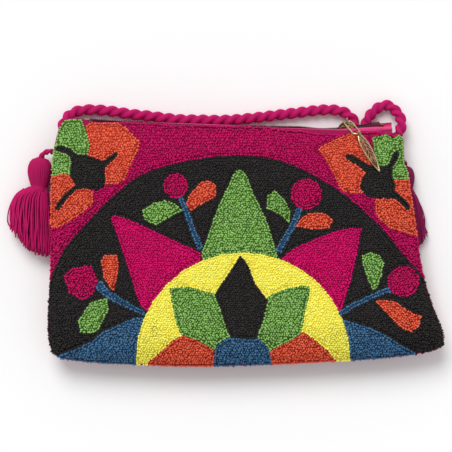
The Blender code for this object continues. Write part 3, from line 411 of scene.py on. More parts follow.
def on_canvas(x, y):
    """The rounded face of the front canvas at one place of the plan, and the way it faces."""
    hit, _, found, _ = canvas_tree.ray_cast(Vector((x, y, 1)), Vector((0, 0, -1)))
    if hit is None:
        return None
    corners = canvas_upper[found]
    a, b, c = (canvas_points[k] for k in corners)
    whole = (b - a).cross(c - a).length
    shares = ((c - b).cross(hit - b).length / whole, (a - c).cross(hit - c).length / whole)
    shares = (*shares, max(0, 1 - sum(shares)))
    rounded = Vector()
    normal = Vector()
    for share, corner in zip(shares, corners):
        away = (hit - canvas_points[corner]).dot(canvas_normals[corner])
        rounded += share * (hit - away * canvas_normals[corner])
        normal += share * canvas_normals[corner]
    return hit.lerp(rounded, canvas_rounding), normal.normalized()


zip_left = Vector((-0.126, 0.0965, seam_height))
zip_right = Vector((0.115, 0.0904, seam_height))
lip_below_zip = 0.0066
lip_rise = (
    (-0.147, 0), (-0.139, 0.0018), (-0.124, 0.0021), (-0.110, 0.0028), (-0.085, 0.0035),
    (-0.053, 0.0027), (-0.018, 0.0028), (0.012, 0.0027), (0.040, 0.0006), (0.058, -0.0014),
    (0.070, -0.0016), (0.086, 0.0010), (0.105, 0.0010), (0.118, 0),
)
lip_rise_depth = 0.017
lip_slope = 0.28


def eased(share):
    """Smooth steps from 0 to 1, for a whole array at once."""
    share = np.clip(share, 0, 1)
    return share * share * (3 - 2 * share)


def at_places(table, x):
    """Smooth steps between the (place, value) pairs of a table, for a whole array of places at once."""
    places, values = (np.array(column) for column in zip(*table))
    before = np.clip(np.searchsorted(places, x) - 1, 0, len(places) - 2)
    share = eased((x - places[before]) / (places[before + 1] - places[before]))
    return values[before] + (values[before + 1] - values[before]) * share


def zip_line(x):
    """How far up the plan the zip's straight line runs."""
    return zip_left.y + (x - zip_left.x) * (zip_right.y - zip_left.y) / (zip_right.x - zip_left.x)


def drawn_up(points):
    """Points of the front, with its top edge drawn up or down the tape as it lies in the photo."""
    points = np.array([tuple(point) for point in points])
    x = points[:, 0]
    near = eased((points[:, 1] - zip_line(x) + lip_below_zip + lip_rise_depth) / lip_rise_depth)
    rise = at_places(lip_rise, x) * near
    points[:, 1] += rise
    points[:, 2] -= lip_slope * rise
    return points


def woven_material(name, colour, thread):
    """A plain weave: threads over and under each other, at their real pitch, painted lighter on their crowns and
    darker as shade in the gaps, with slubs of random tone.
    """
    made, wire, shader = material(name, Roughness=0.9, Specular_IOR_Level=0.2)
    across, along, _ = wire.place().parts("ShaderNodeSeparateXYZ")
    warp = wire.node("ShaderNodeMath", {0: across * (math.pi / thread)}, operation="SINE")
    weft = wire.node("ShaderNodeMath", {0: along * (math.pi / thread)}, operation="SINE")
    lift = wire.node("ShaderNodeMath", {0: warp * weft}, operation="ABSOLUTE")
    slubs = wire.noise(260, 3)
    # lift paints highlight on the raised threads and shade in the gaps between them; the slubs are random tone.
    light = lift * 0.6 + slubs * 0.5
    wire.fill(shader, {
        "Base Color": colour_mix(wire, light, dyed(colour, 0.6), dyed(colour, 1.15)),
        "Normal": wire.bump(lift + slubs * 0.3, 0.5, 0.0002),
    })
    return made


canvas_cloth = woven_material("magenta_canvas", (0.36, 0.008, 0.085), 0.0007)


def rounded_cloth(name, node, cloth, levels, shaped):
    """A cloth piece that follows a plain solid of the frame, with its facets rounded off."""
    points, triangles = merged(nodes[node])
    piece = dressed(name, node, shaped(points), triangles, "bag", cloth)
    rounding = piece.modifiers.new("rounding", "SUBSURF")
    rounding.levels = levels
    rounding.render_levels = levels


rounded_cloth("front_canvas", "front_panel", canvas_cloth, 1, drawn_up)

# Back canvas
# The plain back of the clutch, cut from the front's canvas and sewn to it at the sides and the bottom.
# Its top edge is drawn in under the teeth, and it rests on the table.
back_tuck = 0.0054
back_tuck_depth = 0.022
tuck_start = -0.128
tuck_start_run = 0.030
tuck_end = 0.096
tuck_end_run = 0.020


def between_ends(x):
    """One along the zip, falling to nothing at its two ends."""
    return eased((x - tuck_start) / tuck_start_run) * (1 - eased((x - tuck_end) / tuck_end_run))


def tucked(points):
    """Points of the back, with its top edge drawn in under the teeth."""
    points = np.array([tuple(point) for point in points])
    x = points[:, 0].copy()
    near = eased((points[:, 1] - zip_line(x) + back_tuck_depth) / back_tuck_depth)
    points[:, 1] -= back_tuck * between_ends(x) * near
    points[:, 2] = np.maximum(points[:, 2], off_table)
    return points


rounded_cloth("back_canvas", "back_panel", canvas_cloth, 2, tucked)

# Looped pile
# Wool yarn punched through the front canvas, so that each colour stands as a field of small close loops.
# The loops follow the outline of their field and then fill it, each one leaning its own way.
pile_root = 0.0011
pile_height = 0.0027
loop_spacing = 0.00185
loop_yarn = 0.00066
loop_width = 0.00095
loop_rows_in = 0.0006
loop_sides = 5
loop_stations = 5
rim_spacing = 0.95 * loop_spacing
rim_step = 0.0005
rim_scatter = 0.0002
row_spacing = 0.87 * loop_spacing
field_scatter = 0.00022
loop_lean = 0.16


def loop_shape():
    """The points of one loop, an arch of yarn out of the canvas and back, and how high each one is."""
    places = []
    shares = []
    for station in range(loop_stations):
        turn = math.pi * station / (loop_stations - 1)
        middle = Vector((-math.cos(turn) * loop_width / 2, 0, math.sin(turn) ** 0.8))
        out = Vector((-math.cos(turn), 0, math.sin(turn)))
        for side in range(loop_sides):
            angle = math.tau * (side + 0.5) / loop_sides
            places.append((
                middle.x + out.x * loop_yarn * math.cos(angle),
                loop_yarn * math.sin(angle),
                out.z * loop_yarn * math.cos(angle),
                middle.z,
            ))
            shares.append(middle.z)
    return np.array(places), np.array(shares)


loop_places, loop_shade_heights = loop_shape()
loop_faces = np.array(tube_faces(loop_stations, loop_sides, closed_ends=False))


def rim_lines(points, triangles):
    """The closed outlines of a field, each running with the field to its left."""
    edges = {}
    for triangle in triangles:
        for k in range(3):
            edges[triangle[k], triangle[(k + 1) % 3]] = True
    after = {}
    for a, b in edges:
        if (b, a) not in edges:
            after.setdefault(a, []).append(b)
    lines = []
    while after:
        start = next(iter(after))
        line = [start]
        while True:
            here = line[-1]
            onward = after[here].pop()
            if not after[here]:
                del after[here]
            if onward == start or onward not in after:
                break
            line.append(onward)
        lines.append([points[k].xy for k in line])
    return lines


def loop_spots(points, upper, chance):
    """Where the loops of one field stand, and the way each one runs."""
    tree = BVHTree.FromPolygons(points, upper)
    rims = []
    spots = []
    for line in rim_lines(points, upper):
        closed = [Vector((*p, 0)) for p in line + line[:1]]
        if len(closed) < 4:
            continue
        rims += evenly(closed, rim_step)
        row = evenly(closed, rim_spacing)
        for before, spot, following in zip(row[-2:-1] + row[:-1], row, row[1:] + row[1:2]):
            ahead = (following - before).normalized()
            place = spot + Vector((-ahead.y, ahead.x, 0)) * loop_rows_in
            place += Vector((chance.gauss(0, rim_scatter), chance.gauss(0, rim_scatter), 0))
            spots.append((place.x, place.y, chance.uniform(0, math.pi)))
    near = KDTree(len(rims) + 1)
    for k, rim in enumerate(rims):
        near.insert(rim, k)
    near.balance()
    low = [min(p[axis] for p in points) for axis in (0, 1)]
    high = [max(p[axis] for p in points) for axis in (0, 1)]
    kept = []
    for x, y, turn in spots:
        if near.find(Vector((x, y, 0)))[2] > 0.35 * loop_rows_in:
            if tree.ray_cast(Vector((x, y, 1)), Vector((0, 0, -1)))[0] is not None:
                kept.append((x, y, turn))
    row = 0
    y = low[1]
    while y < high[1]:
        x = low[0] + (loop_spacing / 2 if row % 2 else 0)
        while x < high[0]:
            spot = Vector((x + chance.gauss(0, field_scatter), y + chance.gauss(0, field_scatter), 0))
            if tree.ray_cast(Vector((spot.x, spot.y, 1)), Vector((0, 0, -1)))[0] is not None:
                if near.find(spot)[2] > loop_rows_in + 0.75 * loop_spacing:
                    kept.append((spot.x, spot.y, chance.uniform(0, math.pi)))
            x += loop_spacing
        y += row_spacing
        row += 1
    return kept


def pile_material(name, dark, middle, light):
    """Wool loops of one colour: painted shade at their roots and on their bed, lighter at their crowns, and none
    quite alike.
    """
    made, wire, shader = material(name, Roughness=0.95, Specular_IOR_Level=0.15)
    height, batch, _ = wire.stored("yarn")
    fibres = wire.noise(1600, 2)
    # The loop's height paints shade at its root and light at its crown; batch and fibres are random tone.
    root_shade_and_tone = height * 0.45 + batch * 0.35 + fibres * 0.3
    stops = ((0.15, dark), (0.6, middle), (0.98, light))
    wire.fill(shader, {
        "Base Color": wire.node("ShaderNodeValToRGB", {0: root_shade_and_tone}, stops=stops),
        "Normal": wire.bump(fibres, 0.35, 0.0002),
    })
    return made


pile_tones = {
    "pile_magenta": ((0.24, 0.002, 0.050), (0.54, 0.007, 0.120), (0.64, 0.012, 0.150)),
    "pile_magenta_bright": ((0.36, 0.002, 0.078), (0.68, 0.006, 0.150), (0.76, 0.010, 0.180)),
    "pile_berry": ((0.20, 0.003, 0.042), (0.54, 0.008, 0.115), (0.66, 0.012, 0.14)),
    "pile_green": ((0.070, 0.150, 0.030), (0.225, 0.46, 0.105), (0.36, 0.64, 0.18)),
    "pile_orange": ((0.44, 0.038, 0.022), (0.80, 0.118, 0.058), (0.92, 0.19, 0.10)),
    "pile_yellow": ((0.92, 0.76, 0.075), (1.0, 0.97, 0.135), (1.0, 1.0, 0.24)),
    "pile_blue": ((0.022, 0.060, 0.115), (0.056, 0.155, 0.300), (0.095, 0.24, 0.42)),
    "pile_black": ((0.018, 0.0165, 0.0165), (0.030, 0.0275, 0.027), (0.042, 0.039, 0.038)),
}
pile_dyes = {slot: pile_material(slot, *tones) for slot, tones in pile_tones.items()}


def pile_field(node, slot, seed):
    """One field of loops on a low bed, in place of the plain sheet of the frame."""
    chance = random.Random(seed)
    points, triangles = merged(nodes[node])
    upper = upper_side(points, triangles)
    lifted = {k for triangle in upper for k in triangle}
    bed = []
    for k, point in enumerate(points):
        if k in lifted:
            ground = on_canvas(point.x, point.y)
            height = ground[0].z if ground else point.z - pile_height
            bed.append(Vector((point.x, point.y, min(point.z, height + canvas_gap + pile_root))))
        else:
            bed.append(point)
    spots = loop_spots(points, upper, chance)
    count = len(spots)
    origins, runs, sides, normals = np.zeros((4, count, 3))
    heights, batches = np.zeros((2, count))
    for k, (x, y, turn) in enumerate(spots):
        ground = on_canvas(x, y)
        if ground is None:
            continue
        place, normal = ground
        run = Vector((math.cos(turn), math.sin(turn), 0))
        run = (run - normal * run.dot(normal)).normalized()
        lean = Vector((chance.gauss(0, loop_lean), chance.gauss(0, loop_lean), 0))
        origins[k] = place + normal * (canvas_gap + 0.5 * pile_root)
        runs[k] = run
        sides[k] = normal.cross(run)
        normals[k] = (normal + lean).normalized()
        heights[k] = pile_height - loop_yarn - 0.5 * pile_root + chance.uniform(-0.00035, 0.00025)
        batches[k] = chance.random()
    along, across, yarn_up, arch_up = loop_places.T
    spread = 1 + 0.25 * (batches[:, None] - 0.5)
    cloud = (
        origins[:, None, :]
        + runs[:, None, :] * (along * spread)[:, :, None]
        + sides[:, None, :] * (across * spread)[:, :, None]
        + normals[:, None, :] * (yarn_up + arch_up * heights[:, None])[:, :, None]
    ).reshape(-1, 3)
    firsts = len(bed) + np.arange(count) * len(loop_places)
    faces = (loop_faces[None, :, :] + firsts[:, None, None]).reshape(-1, 4)
    everything = drawn_up([tuple(point) for point in bed] + cloud.tolist())
    # The bed's tones stay at nothing, so it takes the darkest stop: painted shade between the loops.
    tones = np.zeros((len(everything), 3), np.float32)
    # Each loop's height along its arch goes to the finish, which paints its root in shade.
    tones[len(bed):, 0] = np.tile(loop_shade_heights, count)
    tones[len(bed):, 1] = np.repeat(batches, len(loop_places))
    name = node.replace("pile_", "loops_", 1)
    faces = triangles + faces.tolist()
    dressed(name, node, everything, faces, "bag", pile_dyes[slot], tones)


node_slots = {entry["node"]: entry["material_slot"] for entry in frame["record"]["subparts"]}
for seed, node in enumerate(sorted(name for name in nodes if name.startswith("pile_"))):
    pile_field(node, node_slots[node], seed)

# Zip tapes and coils
# A nylon coil zip: each row of teeth is one spiral of dark monofilament sewn along a woven tape.
# The rows mesh left of the slider, where the soft zip dips, and part right of it, where it rises.
zip_lean = math.radians(25)
zip_along = (zip_right - zip_left).normalized()
zip_flat = Vector((-zip_along.y, zip_along.x, 0))
zip_out = zip_flat * math.cos(zip_lean) + Vector((0, 0, math.sin(zip_lean)))
zip_across = zip_along.cross(zip_out)
zip_drop = (
    (-0.120, 0), (-0.085, 0.0022), (-0.053, 0.0034), (-0.018, 0.0038), (0.012, 0.0030),
    (0.040, 0.0028), (0.058, 0.0040), (0.068, 0.0034), (0.078, 0.0004), (0.086, -0.0008),
    (0.101, -0.0036), (0.110, -0.0032), (0.116, -0.0004),
)
tape_width = 0.0062
slider_at = 0.2036
slider_length = 0.012
closed_space = 0.00045
open_space = 0.00285
tape_spare = 0.0042
spare_from = 0.104
tape_droop = 0.0022
droop_from = 0.109
tape_bend = 0.005
tape_tail = 0.0170
tail_droop = 0.0052
tail_from = -0.1232
tail_bend = 0.0026
coil_start = 0.0058
coil_end = 0.2292
coil_pitch = 0.0014
coil_wire = 0.00036
coil_rise = 0.00080
coil_lift = 0.0013
coil_lift_run = 0.04
coil_off = 0.00052
coil_reach = 0.00038
coil_steps = 10


def zip_place(along, out, across):
    """A place in the zip, from the left end of its line."""
    return zip_left + zip_along * along + zip_out * out + zip_across * across


def sagged(points):
    """Points of the soft zip, which dips and rises, and whose tapes run on past its ends."""
    points = np.array([tuple(point) for point in points])
    x = points[:, 0].copy()
    across = (points - np.array(zip_left)) @ np.array(zip_across)
    forward = np.clip(across / tape_width, 0, 1)
    backward = np.clip(-across / tape_width, 0, 1)
    points[:, 1] -= at_places(zip_drop, x) * (1 - forward ** 2.5) * (1 - 0.25 * backward)
    points[:, 1] -= between_ends(x) * backward * tape_width * math.sin(zip_lean)
    points[:, 0] += tape_spare * eased((x - spare_from) / tape_bend)
    points[:, 1] -= tape_droop * eased((x - droop_from) / tape_bend)
    tail = eased((tail_from - x) / tail_bend)
    points[:, 0] -= tape_tail * tail
    points[:, 1] -= tail_droop * tail
    points[:, 2] += (zip_left.z - points[:, 2]) * 0.5 * tail
    return points


def tube(line, radius, sides, up=None, closed=False):
    """A round wire along a line, turning about a fixed direction where one is given."""
    points = []
    count = len(line)
    if up is None:
        acrosses, ups = carried_frame(line)
    for k, centre in enumerate(line):
        if up is None:
            across, over = acrosses[k], ups[k]
        else:
            before = line[k - 1] if closed or k else line[0]
            after = line[(k + 1) % count] if closed or k < count - 1 else line[-1]
            across = (after - before).cross(up).normalized()
            over = up
        for side in range(sides):
            angle = math.tau * side / sides
            points.append(centre + radius * (across * math.cos(angle) + over * math.sin(angle)))
    if not closed:
        return points, tube_faces(count, sides)
    faces = tube_faces(count, sides, closed_ends=False)
    last = (count - 1) * sides
    for side in range(sides):
        after = (side + 1) % sides
        faces.append((last + side, last + after, after, side))
    return points, faces


def joined(parts):
    """Several shapes as one list of points and one of faces."""
    points = []
    faces = []
    for some_points, some_faces in parts:
        first = len(points)
        points += list(some_points)
        faces += [tuple(first + corner for corner in face) for face in some_faces]
    return points, faces


def coil_spiral(side):
    """The centre line of one row of teeth."""
    turns = round((coil_end - coil_start) / coil_pitch)
    line = []
    for k in range(turns * coil_steps + 1):
        angle = math.tau * k / coil_steps
        along = coil_start + (coil_end - coil_start) * k / (turns * coil_steps)
        parted = float(eased((along - slider_at) / slider_length + 0.5))
        space = closed_space + (open_space - closed_space) * parted
        across = space + coil_off + coil_reach * math.cos(angle)
        lift = coil_lift * (1 - parted) * float(eased((along - coil_start) / coil_lift_run))
        line.append(zip_place(along, lift + coil_rise * math.sin(angle), side * across))
    return line


tape_cloth = woven_material("magenta_zip_tape", (0.88, 0.078, 0.28), 0.0006)
coil_plastic, coil_tree, coil_shader = material("maroon_monofilament", Roughness=0.35, Coat_Weight=0.2)
coil_dust = coil_tree.noise(300, 3)
coil_tree.fill(coil_shader, {
    "Base Color": colour_mix(coil_tree, coil_dust, (0.040, 0.004, 0.013, 1), (0.12, 0.009, 0.034, 1)),
    "Roughness": 0.28 + coil_dust * 0.25,
})

for row, side in (("front", 1), ("back", -1)):
    rounded_cloth("woven_tape_" + row, "zip_tape_" + row, tape_cloth, 2, sagged)
    coil_points, coil_faces = tube(coil_spiral(side), coil_wire, 6)
    dressed(
        "coil_teeth_" + row, "zip_coil_" + row, sagged(coil_points), coil_faces, "bag",
        coil_plastic)

# Stops, slider, ring and leaf pull
# Cast zinc in pale gold. The stops are pinched onto the teeth, and the slider's eye carries a wire ring.
# An openwork leaf hangs from the ring, with a raised rim, a midrib and curved veins.
# The dark gold is painted shade and dark reflection, and also shows in the grain; the pale gold is the metal with
# its painted highlights.
gold_painted_shade_reflection = (0.13, 0.085, 0.032, 1)
gold_pale = (0.76, 0.60, 0.33, 1)


def gold_material():
    """Pale gold finish, with painted shade and dark reflections on its lower ground, painted highlight streaks,
    cast grain and fine wear.
    """
    made, wire, shader = material("pale_gold", Metallic=1.0)
    cast = wire.noise(420, 4)
    wear = wire.noise(90, 5)
    raised, _, _ = wire.stored("raised")
    # The ground's painted shade and dark reflection, and the cast and wear noise, which paint highlight streaks as
    # well as grain and wear, mix the dark gold with the pale.
    painted_reflection_and_wear = raised * 0.8 + (cast - 0.5) * 1.3 + (wear - 0.5) * 1.2
    wire.fill(shader, {
        "Base Color": colour_mix(wire, painted_reflection_and_wear, gold_painted_shade_reflection, gold_pale),
        "Roughness": 0.14 + wear * 0.25,
        "Normal": wire.bump(cast, 0.35, 0.0002),
    })
    return made


gold = gold_material()


def gold_piece(name, node, body, ground_shapes, raised_shapes, ground_painted_shade):
    """A gold piece: its ground painted darker, as shade and dark reflection, and the work that is raised on it in
    the full gold.
    """
    points, faces = joined([*ground_shapes, *raised_shapes])
    ground = sum(len(shape[0]) for shape in ground_shapes)
    # The ground's lower tone paints shade and dark reflection on it.
    tones = [(ground_painted_shade, 0, 0)] * ground + [(1, 0, 0)] * (len(points) - ground)
    piece = dressed(name, node, points, faces, body, gold, tones, "raised")
    piece.data.set_sharp_from_angle(angle=math.radians(40))


def bevelled(name, node, body, width, scrolls=(), shaped=None, ground_painted_shade=0.55):
    """A metal piece that keeps the frame's solid, with its edges rounded and scrolls cast on it."""
    points, triangles = merged(nodes[node])
    if shaped:
        points = [shaped(point) for point in points]
    plain = bmesh.new()
    corners = [plain.verts.new(point) for point in points]
    for triangle in triangles:
        plain.faces.new([corners[k] for k in triangle])
    bmesh.ops.dissolve_limit(
        plain, angle_limit=math.radians(3), verts=plain.verts, edges=plain.edges)
    sharp = [
        edge for edge in plain.edges if edge.is_manifold and edge.calc_face_angle() > math.radians(35)
    ]
    bmesh.ops.bevel(
        plain, geom=sharp, offset=width, segments=2, profile=0.5, affect="EDGES", clamp_overlap=True)
    plain.verts.index_update()
    solid_points = [vert.co.copy() for vert in plain.verts]
    solid_faces = [tuple(vert.index for vert in face.verts) for face in plain.faces]
    plain.free()
    gold_piece(name, node, body, [(solid_points, solid_faces)], scrolls, ground_painted_shade)


for name in ("top_stop_front", "top_stop_back", "bottom_stop"):
    bevelled("pinched_" + name, name, "bag", 0.0003)

nose_dip = 0.0020
nose_start = 0.0015
nose_run = 0.0045
nose_narrowing = 0.42
nose_flattening = 0.22
channel_height = 0.0016
scroll_wire = 0.00028
scroll_reach = 0.0016
scroll_off = 0.0049
scroll_steps = 21


def scroll(along, turn, side):
    """A cast scroll on the slider's flank, curling in from its open end."""
    line = []
    for k in range(scroll_steps + 1):
        share = k / scroll_steps
        angle = turn * (0.4 + 4.6 * share)
        reach = scroll_reach * (1 - 0.8 * share)
        centre = slider_at + along + reach * math.cos(angle)
        line.append(zip_place(centre, reach * math.sin(angle), side * scroll_off))
    return tube(line, scroll_wire, 6)


def nosed(point):
    """The slider's solid with its closed end drawn in to a nose, which dips with the teeth."""
    offset = point - zip_left
    along, out, across = offset.dot(zip_along), offset.dot(zip_out), offset.dot(zip_across)
    nose = float(eased((slider_at - nose_start - along) / nose_run))
    across *= 1 - nose_narrowing * nose
    if abs(out) > channel_height:
        out *= 1 - nose_flattening * nose
    return zip_place(along, out, across) - Vector((0, nose_dip * nose, 0))


flank_scrolls = [
    scroll(along, turn, side)
    for side in (1, -1)
    for along, turn in ((0.0004, -1), (0.0038, 1))
]
bevelled("cast_slider", "zip_slider", "slider", 0.00025, flank_scrolls, nosed, 0.35)

hinges = {joint["name"]: joint for joint in frame["joints"]}
ring_pivot = Vector(hinges["link_hinge"]["pos_m"])
ring_axis = -Vector(hinges["link_hinge"]["axis"])
ring_turn = math.radians(-23)
ring_dip = math.radians(7)
ring_flat = zip_across * math.cos(ring_turn) - zip_along * math.sin(ring_turn)
ring_along = ring_flat * math.cos(ring_dip) - zip_out * math.sin(ring_dip)
ring_half = 0.0031
ring_length = 0.020
ring_wire = 0.00058


def ring_line():
    """The middle of the ring's wire: two straight sides and two round ends."""
    line = []
    for middle, first in ((ring_length - ring_half, 0), (ring_half, math.pi)):
        centre = ring_pivot + ring_along * middle
        for k in range(25):
            angle = first + math.pi * k / 24
            out = ring_axis * math.cos(angle) + ring_along * math.sin(angle)
            line.append(centre + ring_half * out)
    return line


ring_over = ring_axis.cross(ring_along).normalized()
ring_points, ring_faces = tube(ring_line(), ring_wire, 12, ring_over, closed=True)
ring_tones = [(0.9, 0, 0)] * len(ring_points)
dressed(
    "wire_ring", "pull_ring", ring_points, ring_faces, "link", gold, ring_tones, "raised")

leaf_hinge = Vector(hinges["leaf_hinge"]["pos_m"])
leaf_axis = -Vector(hinges["leaf_hinge"]["axis"])
leaf_skew = 0.09
leaf_corners = [vertex.co for vertex in nodes["pull_leaf"].data.vertices]
leaf_tip = max(leaf_corners, key=lambda corner: (corner - leaf_hinge).length)
leaf_along = (leaf_tip - leaf_hinge - leaf_axis * (leaf_tip - leaf_hinge).dot(leaf_axis)).normalized()
leaf_along = (leaf_along + leaf_axis * leaf_skew).normalized()
leaf_over = leaf_axis.cross(leaf_along).normalized()
leaf_over = leaf_over if leaf_over.z > 0 else -leaf_over
leaf_length = 0.0335
leaf_half = 0.0042
leaf_face = 0.0006
barrel = 0.0019
bore = 0.00085
barrel_half = 0.0011
plate_start = 0.0017
head_plate = 0.0045
tip_plate = 0.0075
tip_end = 0.0005
plate_edge = 0.0003
rim_wire = 0.00056
vein_wire = 0.00034
vein_start = 0.0058
vein_space = 0.0034
vein_rise = 0.0048
midrib_length = 0.0150
slot_start = 0.0205
slot_length = 0.0058
slot_half = 0.0010


def leaf_place(along, across, over=0.0):
    """A place on the leaf, from its hinge."""
    return leaf_hinge + leaf_along * along + leaf_axis * across + leaf_over * over


def leaf_width(along):
    """Half the leaf's width at a distance from its hinge."""
    share = min(1, max(0, (along - barrel) / (leaf_length - barrel)))
    return leaf_half * math.sin(math.pi * (0.1 + 0.9 * share ** 0.8)) ** 0.8


def leaf_plate(stations, edge):
    """A thin plate between the two sides of the leaf."""
    right = [(along, max(0.0001, leaf_width(along) - edge)) for along in stations]
    outline = right + [(along, -across) for along, across in reversed(right)]
    count = len(outline)
    points = []
    for over in (-0.5 * leaf_face, 0.5 * leaf_face):
        points += [leaf_place(along, across, over) for along, across in outline]
    faces = [tuple(range(count)), tuple(count + k for k in reversed(range(count)))]
    for k in range(count):
        after = (k + 1) % count
        faces.append((k, count + k, count + after, after))
    return points, faces


def leaf_barrel():
    """The rolled eye at the head of the leaf, open for the ring's wire."""
    sides = 24
    points = []
    corners = ((-barrel_half, barrel), (barrel_half, barrel), (barrel_half, bore), (-barrel_half, bore))
    for across, reach in corners:
        for k in range(sides):
            angle = math.tau * k / sides
            points.append(leaf_place(reach * math.cos(angle), across, reach * math.sin(angle)))
    faces = []
    for ring_number in range(4):
        low, high = ring_number * sides, (ring_number + 1) % 4 * sides
        for k in range(sides):
            after = (k + 1) % sides
            faces.append((low + k, high + k, high + after, low + after))
    return points, faces


def leaf_work():
    """The leaf's shapes: barrel and plates first, then its raised rim, midrib and veins."""
    flat = [
        leaf_barrel(),
        leaf_plate([plate_start + head_plate * k / 8 for k in range(9)], plate_edge),
        leaf_plate(
            [leaf_length - tip_plate + (tip_plate - tip_end) * k / 8 for k in range(9)], plate_edge),
    ]
    raised = []
    stations = [plate_start + (leaf_length - plate_start - tip_end) * k / 30 for k in range(31)]
    for side in (1, -1):
        rim = []
        for along in stations:
            rim.append(leaf_place(along, side * max(0.0001, leaf_width(along) - 0.5 * rim_wire)))
        raised.append(tube(rim, rim_wire, 10, leaf_over))
    slot = []
    for k in range(24):
        angle = math.tau * k / 24
        along = slot_start + slot_length * (1 - math.cos(angle)) / 2
        slot.append(leaf_place(along, slot_half * math.sin(angle)))
    raised.append(tube(slot, vein_wire, 6, leaf_over, closed=True))
    midrib = [leaf_place(vein_start + midrib_length * k / 10, 0) for k in range(11)]
    raised.append(tube(midrib, vein_wire, 6, leaf_over))
    for pair in range(5):
        for side in (1, -1):
            vein = []
            for k in range(9):
                share = k / 8
                along = vein_start + pair * vein_space + vein_rise * share ** 1.4
                vein.append(leaf_place(along, side * share * (leaf_width(along) - rim_wire)))
            raised.append(tube(vein, vein_wire, 6, leaf_over))
    return flat, raised


gold_piece("openwork_leaf", "pull_leaf", "leaf", *leaf_work(), 0.35)

# Tassels
# Magenta wool strands folded over a cord that is knotted into the side seam.
# They are bound below the fold, which makes a round head, and their outer strands are trimmed shorter.
tassel_dye = yarn_material("tassel_yarn", (0.46, 0.007, 0.110), 0.40)
# The right tassel takes a darker copy of the same yarn, as painted shade.
tassel_painted_shade_yarn = yarn_material("tassel_yarn_painted_shade", (0.22, 0.010, 0.075), 0.40)
strand_radius = 0.00055
strand_stations = 14
tie_ply = 0.0014
tie_ply_off = 0.0009
tie_pitch = 0.010
tie_arch = 0.0016
tie_overlap = 0.0012
head_profile = (
    (0.0, 0.16), (0.03, 0.40), (0.09, 0.66), (0.2, 0.86), (0.38, 0.97), (0.58, 0.95), (0.78, 0.82),
    (0.92, 0.70), (1.0, 0.64), (1.14, 0.58),
)
head_overrun = 1.14
core_sides = 24
wraps = 5
wrap_steps = 24
wrap_radius = 0.00045
wrap_width = 0.0026
wrap_start = 0.0002
wrap_slant = 0.0028
wrap_share = 0.645
skirt_neck = 0.60
skirt_start = 0.0012
skirt_lift = ((0.2, 0.92), (0.6, 1.0), (1.0, 0.8))
skirt_sway = ((0.0, 0.0), (0.08, 0.45), (0.18, 1.0), (0.4, 0.95), (0.75, 0.45), (1.0, 0.0))
skirt_layers = ((1.0, 1.0), (0.80, 0.9), (0.56, 0.75), (0.3, 0.7))


def between(table, share):
    """A value read from a short list of (place, value) steps."""
    for (low, first), (high, second) in zip(table, table[1:]):
        if share <= high:
            return first + (second - first) * (share - low) / (high - low)
    return table[-1][1]


def strands(lines, sides, lightest, chance):
    """Yarn strands as one shape, each with its own lightness."""
    parts = []
    tones = []
    for line in lines:
        parts.append(tube(line, strand_radius, sides))
        own = chance.random()
        tones += [(lightest - 0.5 * own, own, 0.5)] * (len(line) * sides)
    points, faces = joined(parts)
    return points, faces, tones


def tassel_tie(side, seam, crown, down, dye):
    """The twisted cord from the seam to the tassel's head."""
    line = evenly(curve_through([
        seam,
        seam.lerp(crown, 0.30) - down * tie_arch,
        seam.lerp(crown, 0.75) - down * tie_arch,
        crown + down * tie_overlap,
    ], 10), 0.0005)
    points, faces, tones = twisted_cord(line, tie_ply, tie_ply_off, tie_pitch, tie_pitch, 24, 5)
    dressed("tassel_tie_" + side, "tassel_cord_" + side, points, faces, "bag", dye, tones)


def tassel_head(side, crown, neck, axes, radius, dye, chance):
    """The folded strands of the head, round a core that fills it, painted dark as shade between the strands."""
    down, out, over = axes
    head_length = (neck - crown).length

    def on_head(share, angle, inset):
        """A place on the head, set in from its surface."""
        reach = between(head_profile, share) * radius - inset
        around = out * math.cos(angle) + over * math.sin(angle)
        return crown + down * (share * head_length) + reach * around

    core = []
    for share, _ in head_profile:
        for k in range(core_sides):
            core.append(on_head(share, math.tau * k / core_sides, 0.8 * strand_radius))
    lines = []
    count = round(math.tau * radius / (1.55 * strand_radius))
    for k in range(count):
        angle = math.tau * (k + chance.uniform(-0.25, 0.25)) / count
        lean = chance.uniform(-0.10, 0.10)
        line = []
        for step in range(strand_stations):
            share = head_overrun * step / (strand_stations - 1)
            line.append(on_head(share, angle + lean * share, 0.4 * strand_radius))
        lines.append(line)
    points, faces, tones = strands(lines, 6, 0.85, chance)
    points, faces = joined([(core, tube_faces(len(head_profile), core_sides)), (points, faces)])
    # The core's low first tone paints shade in the gaps between the strands.
    tones = [(0.1, 0.2, 0.5)] * len(core) + tones
    dressed("tassel_head_yarn_" + side, "tassel_head_" + side, points, faces, "bag", dye, tones)


def tassel_binding(side, neck, axes, radius, slope, dye):
    """The yarn wound round the neck, a little aslant."""
    down, out, over = axes
    line = []
    for k in range(wraps * wrap_steps + 1):
        angle = math.tau * k / wrap_steps
        slant = -wrap_slant * math.cos(angle) * (-1 if out.x < 0 else 1) * slope
        place = neck + down * (wrap_start + wrap_width * k / (wraps * wrap_steps) - slant)
        line.append(place + wrap_share * radius * (out * math.cos(angle) + over * math.sin(angle)))
    points, faces = tube(line, wrap_radius, 8, down)
    tones = [(0.7, 0.5, 0.5)] * len(points)
    dressed("tassel_wrap_" + side, "tassel_binding_" + side, points, faces, "bag", dye, tones)


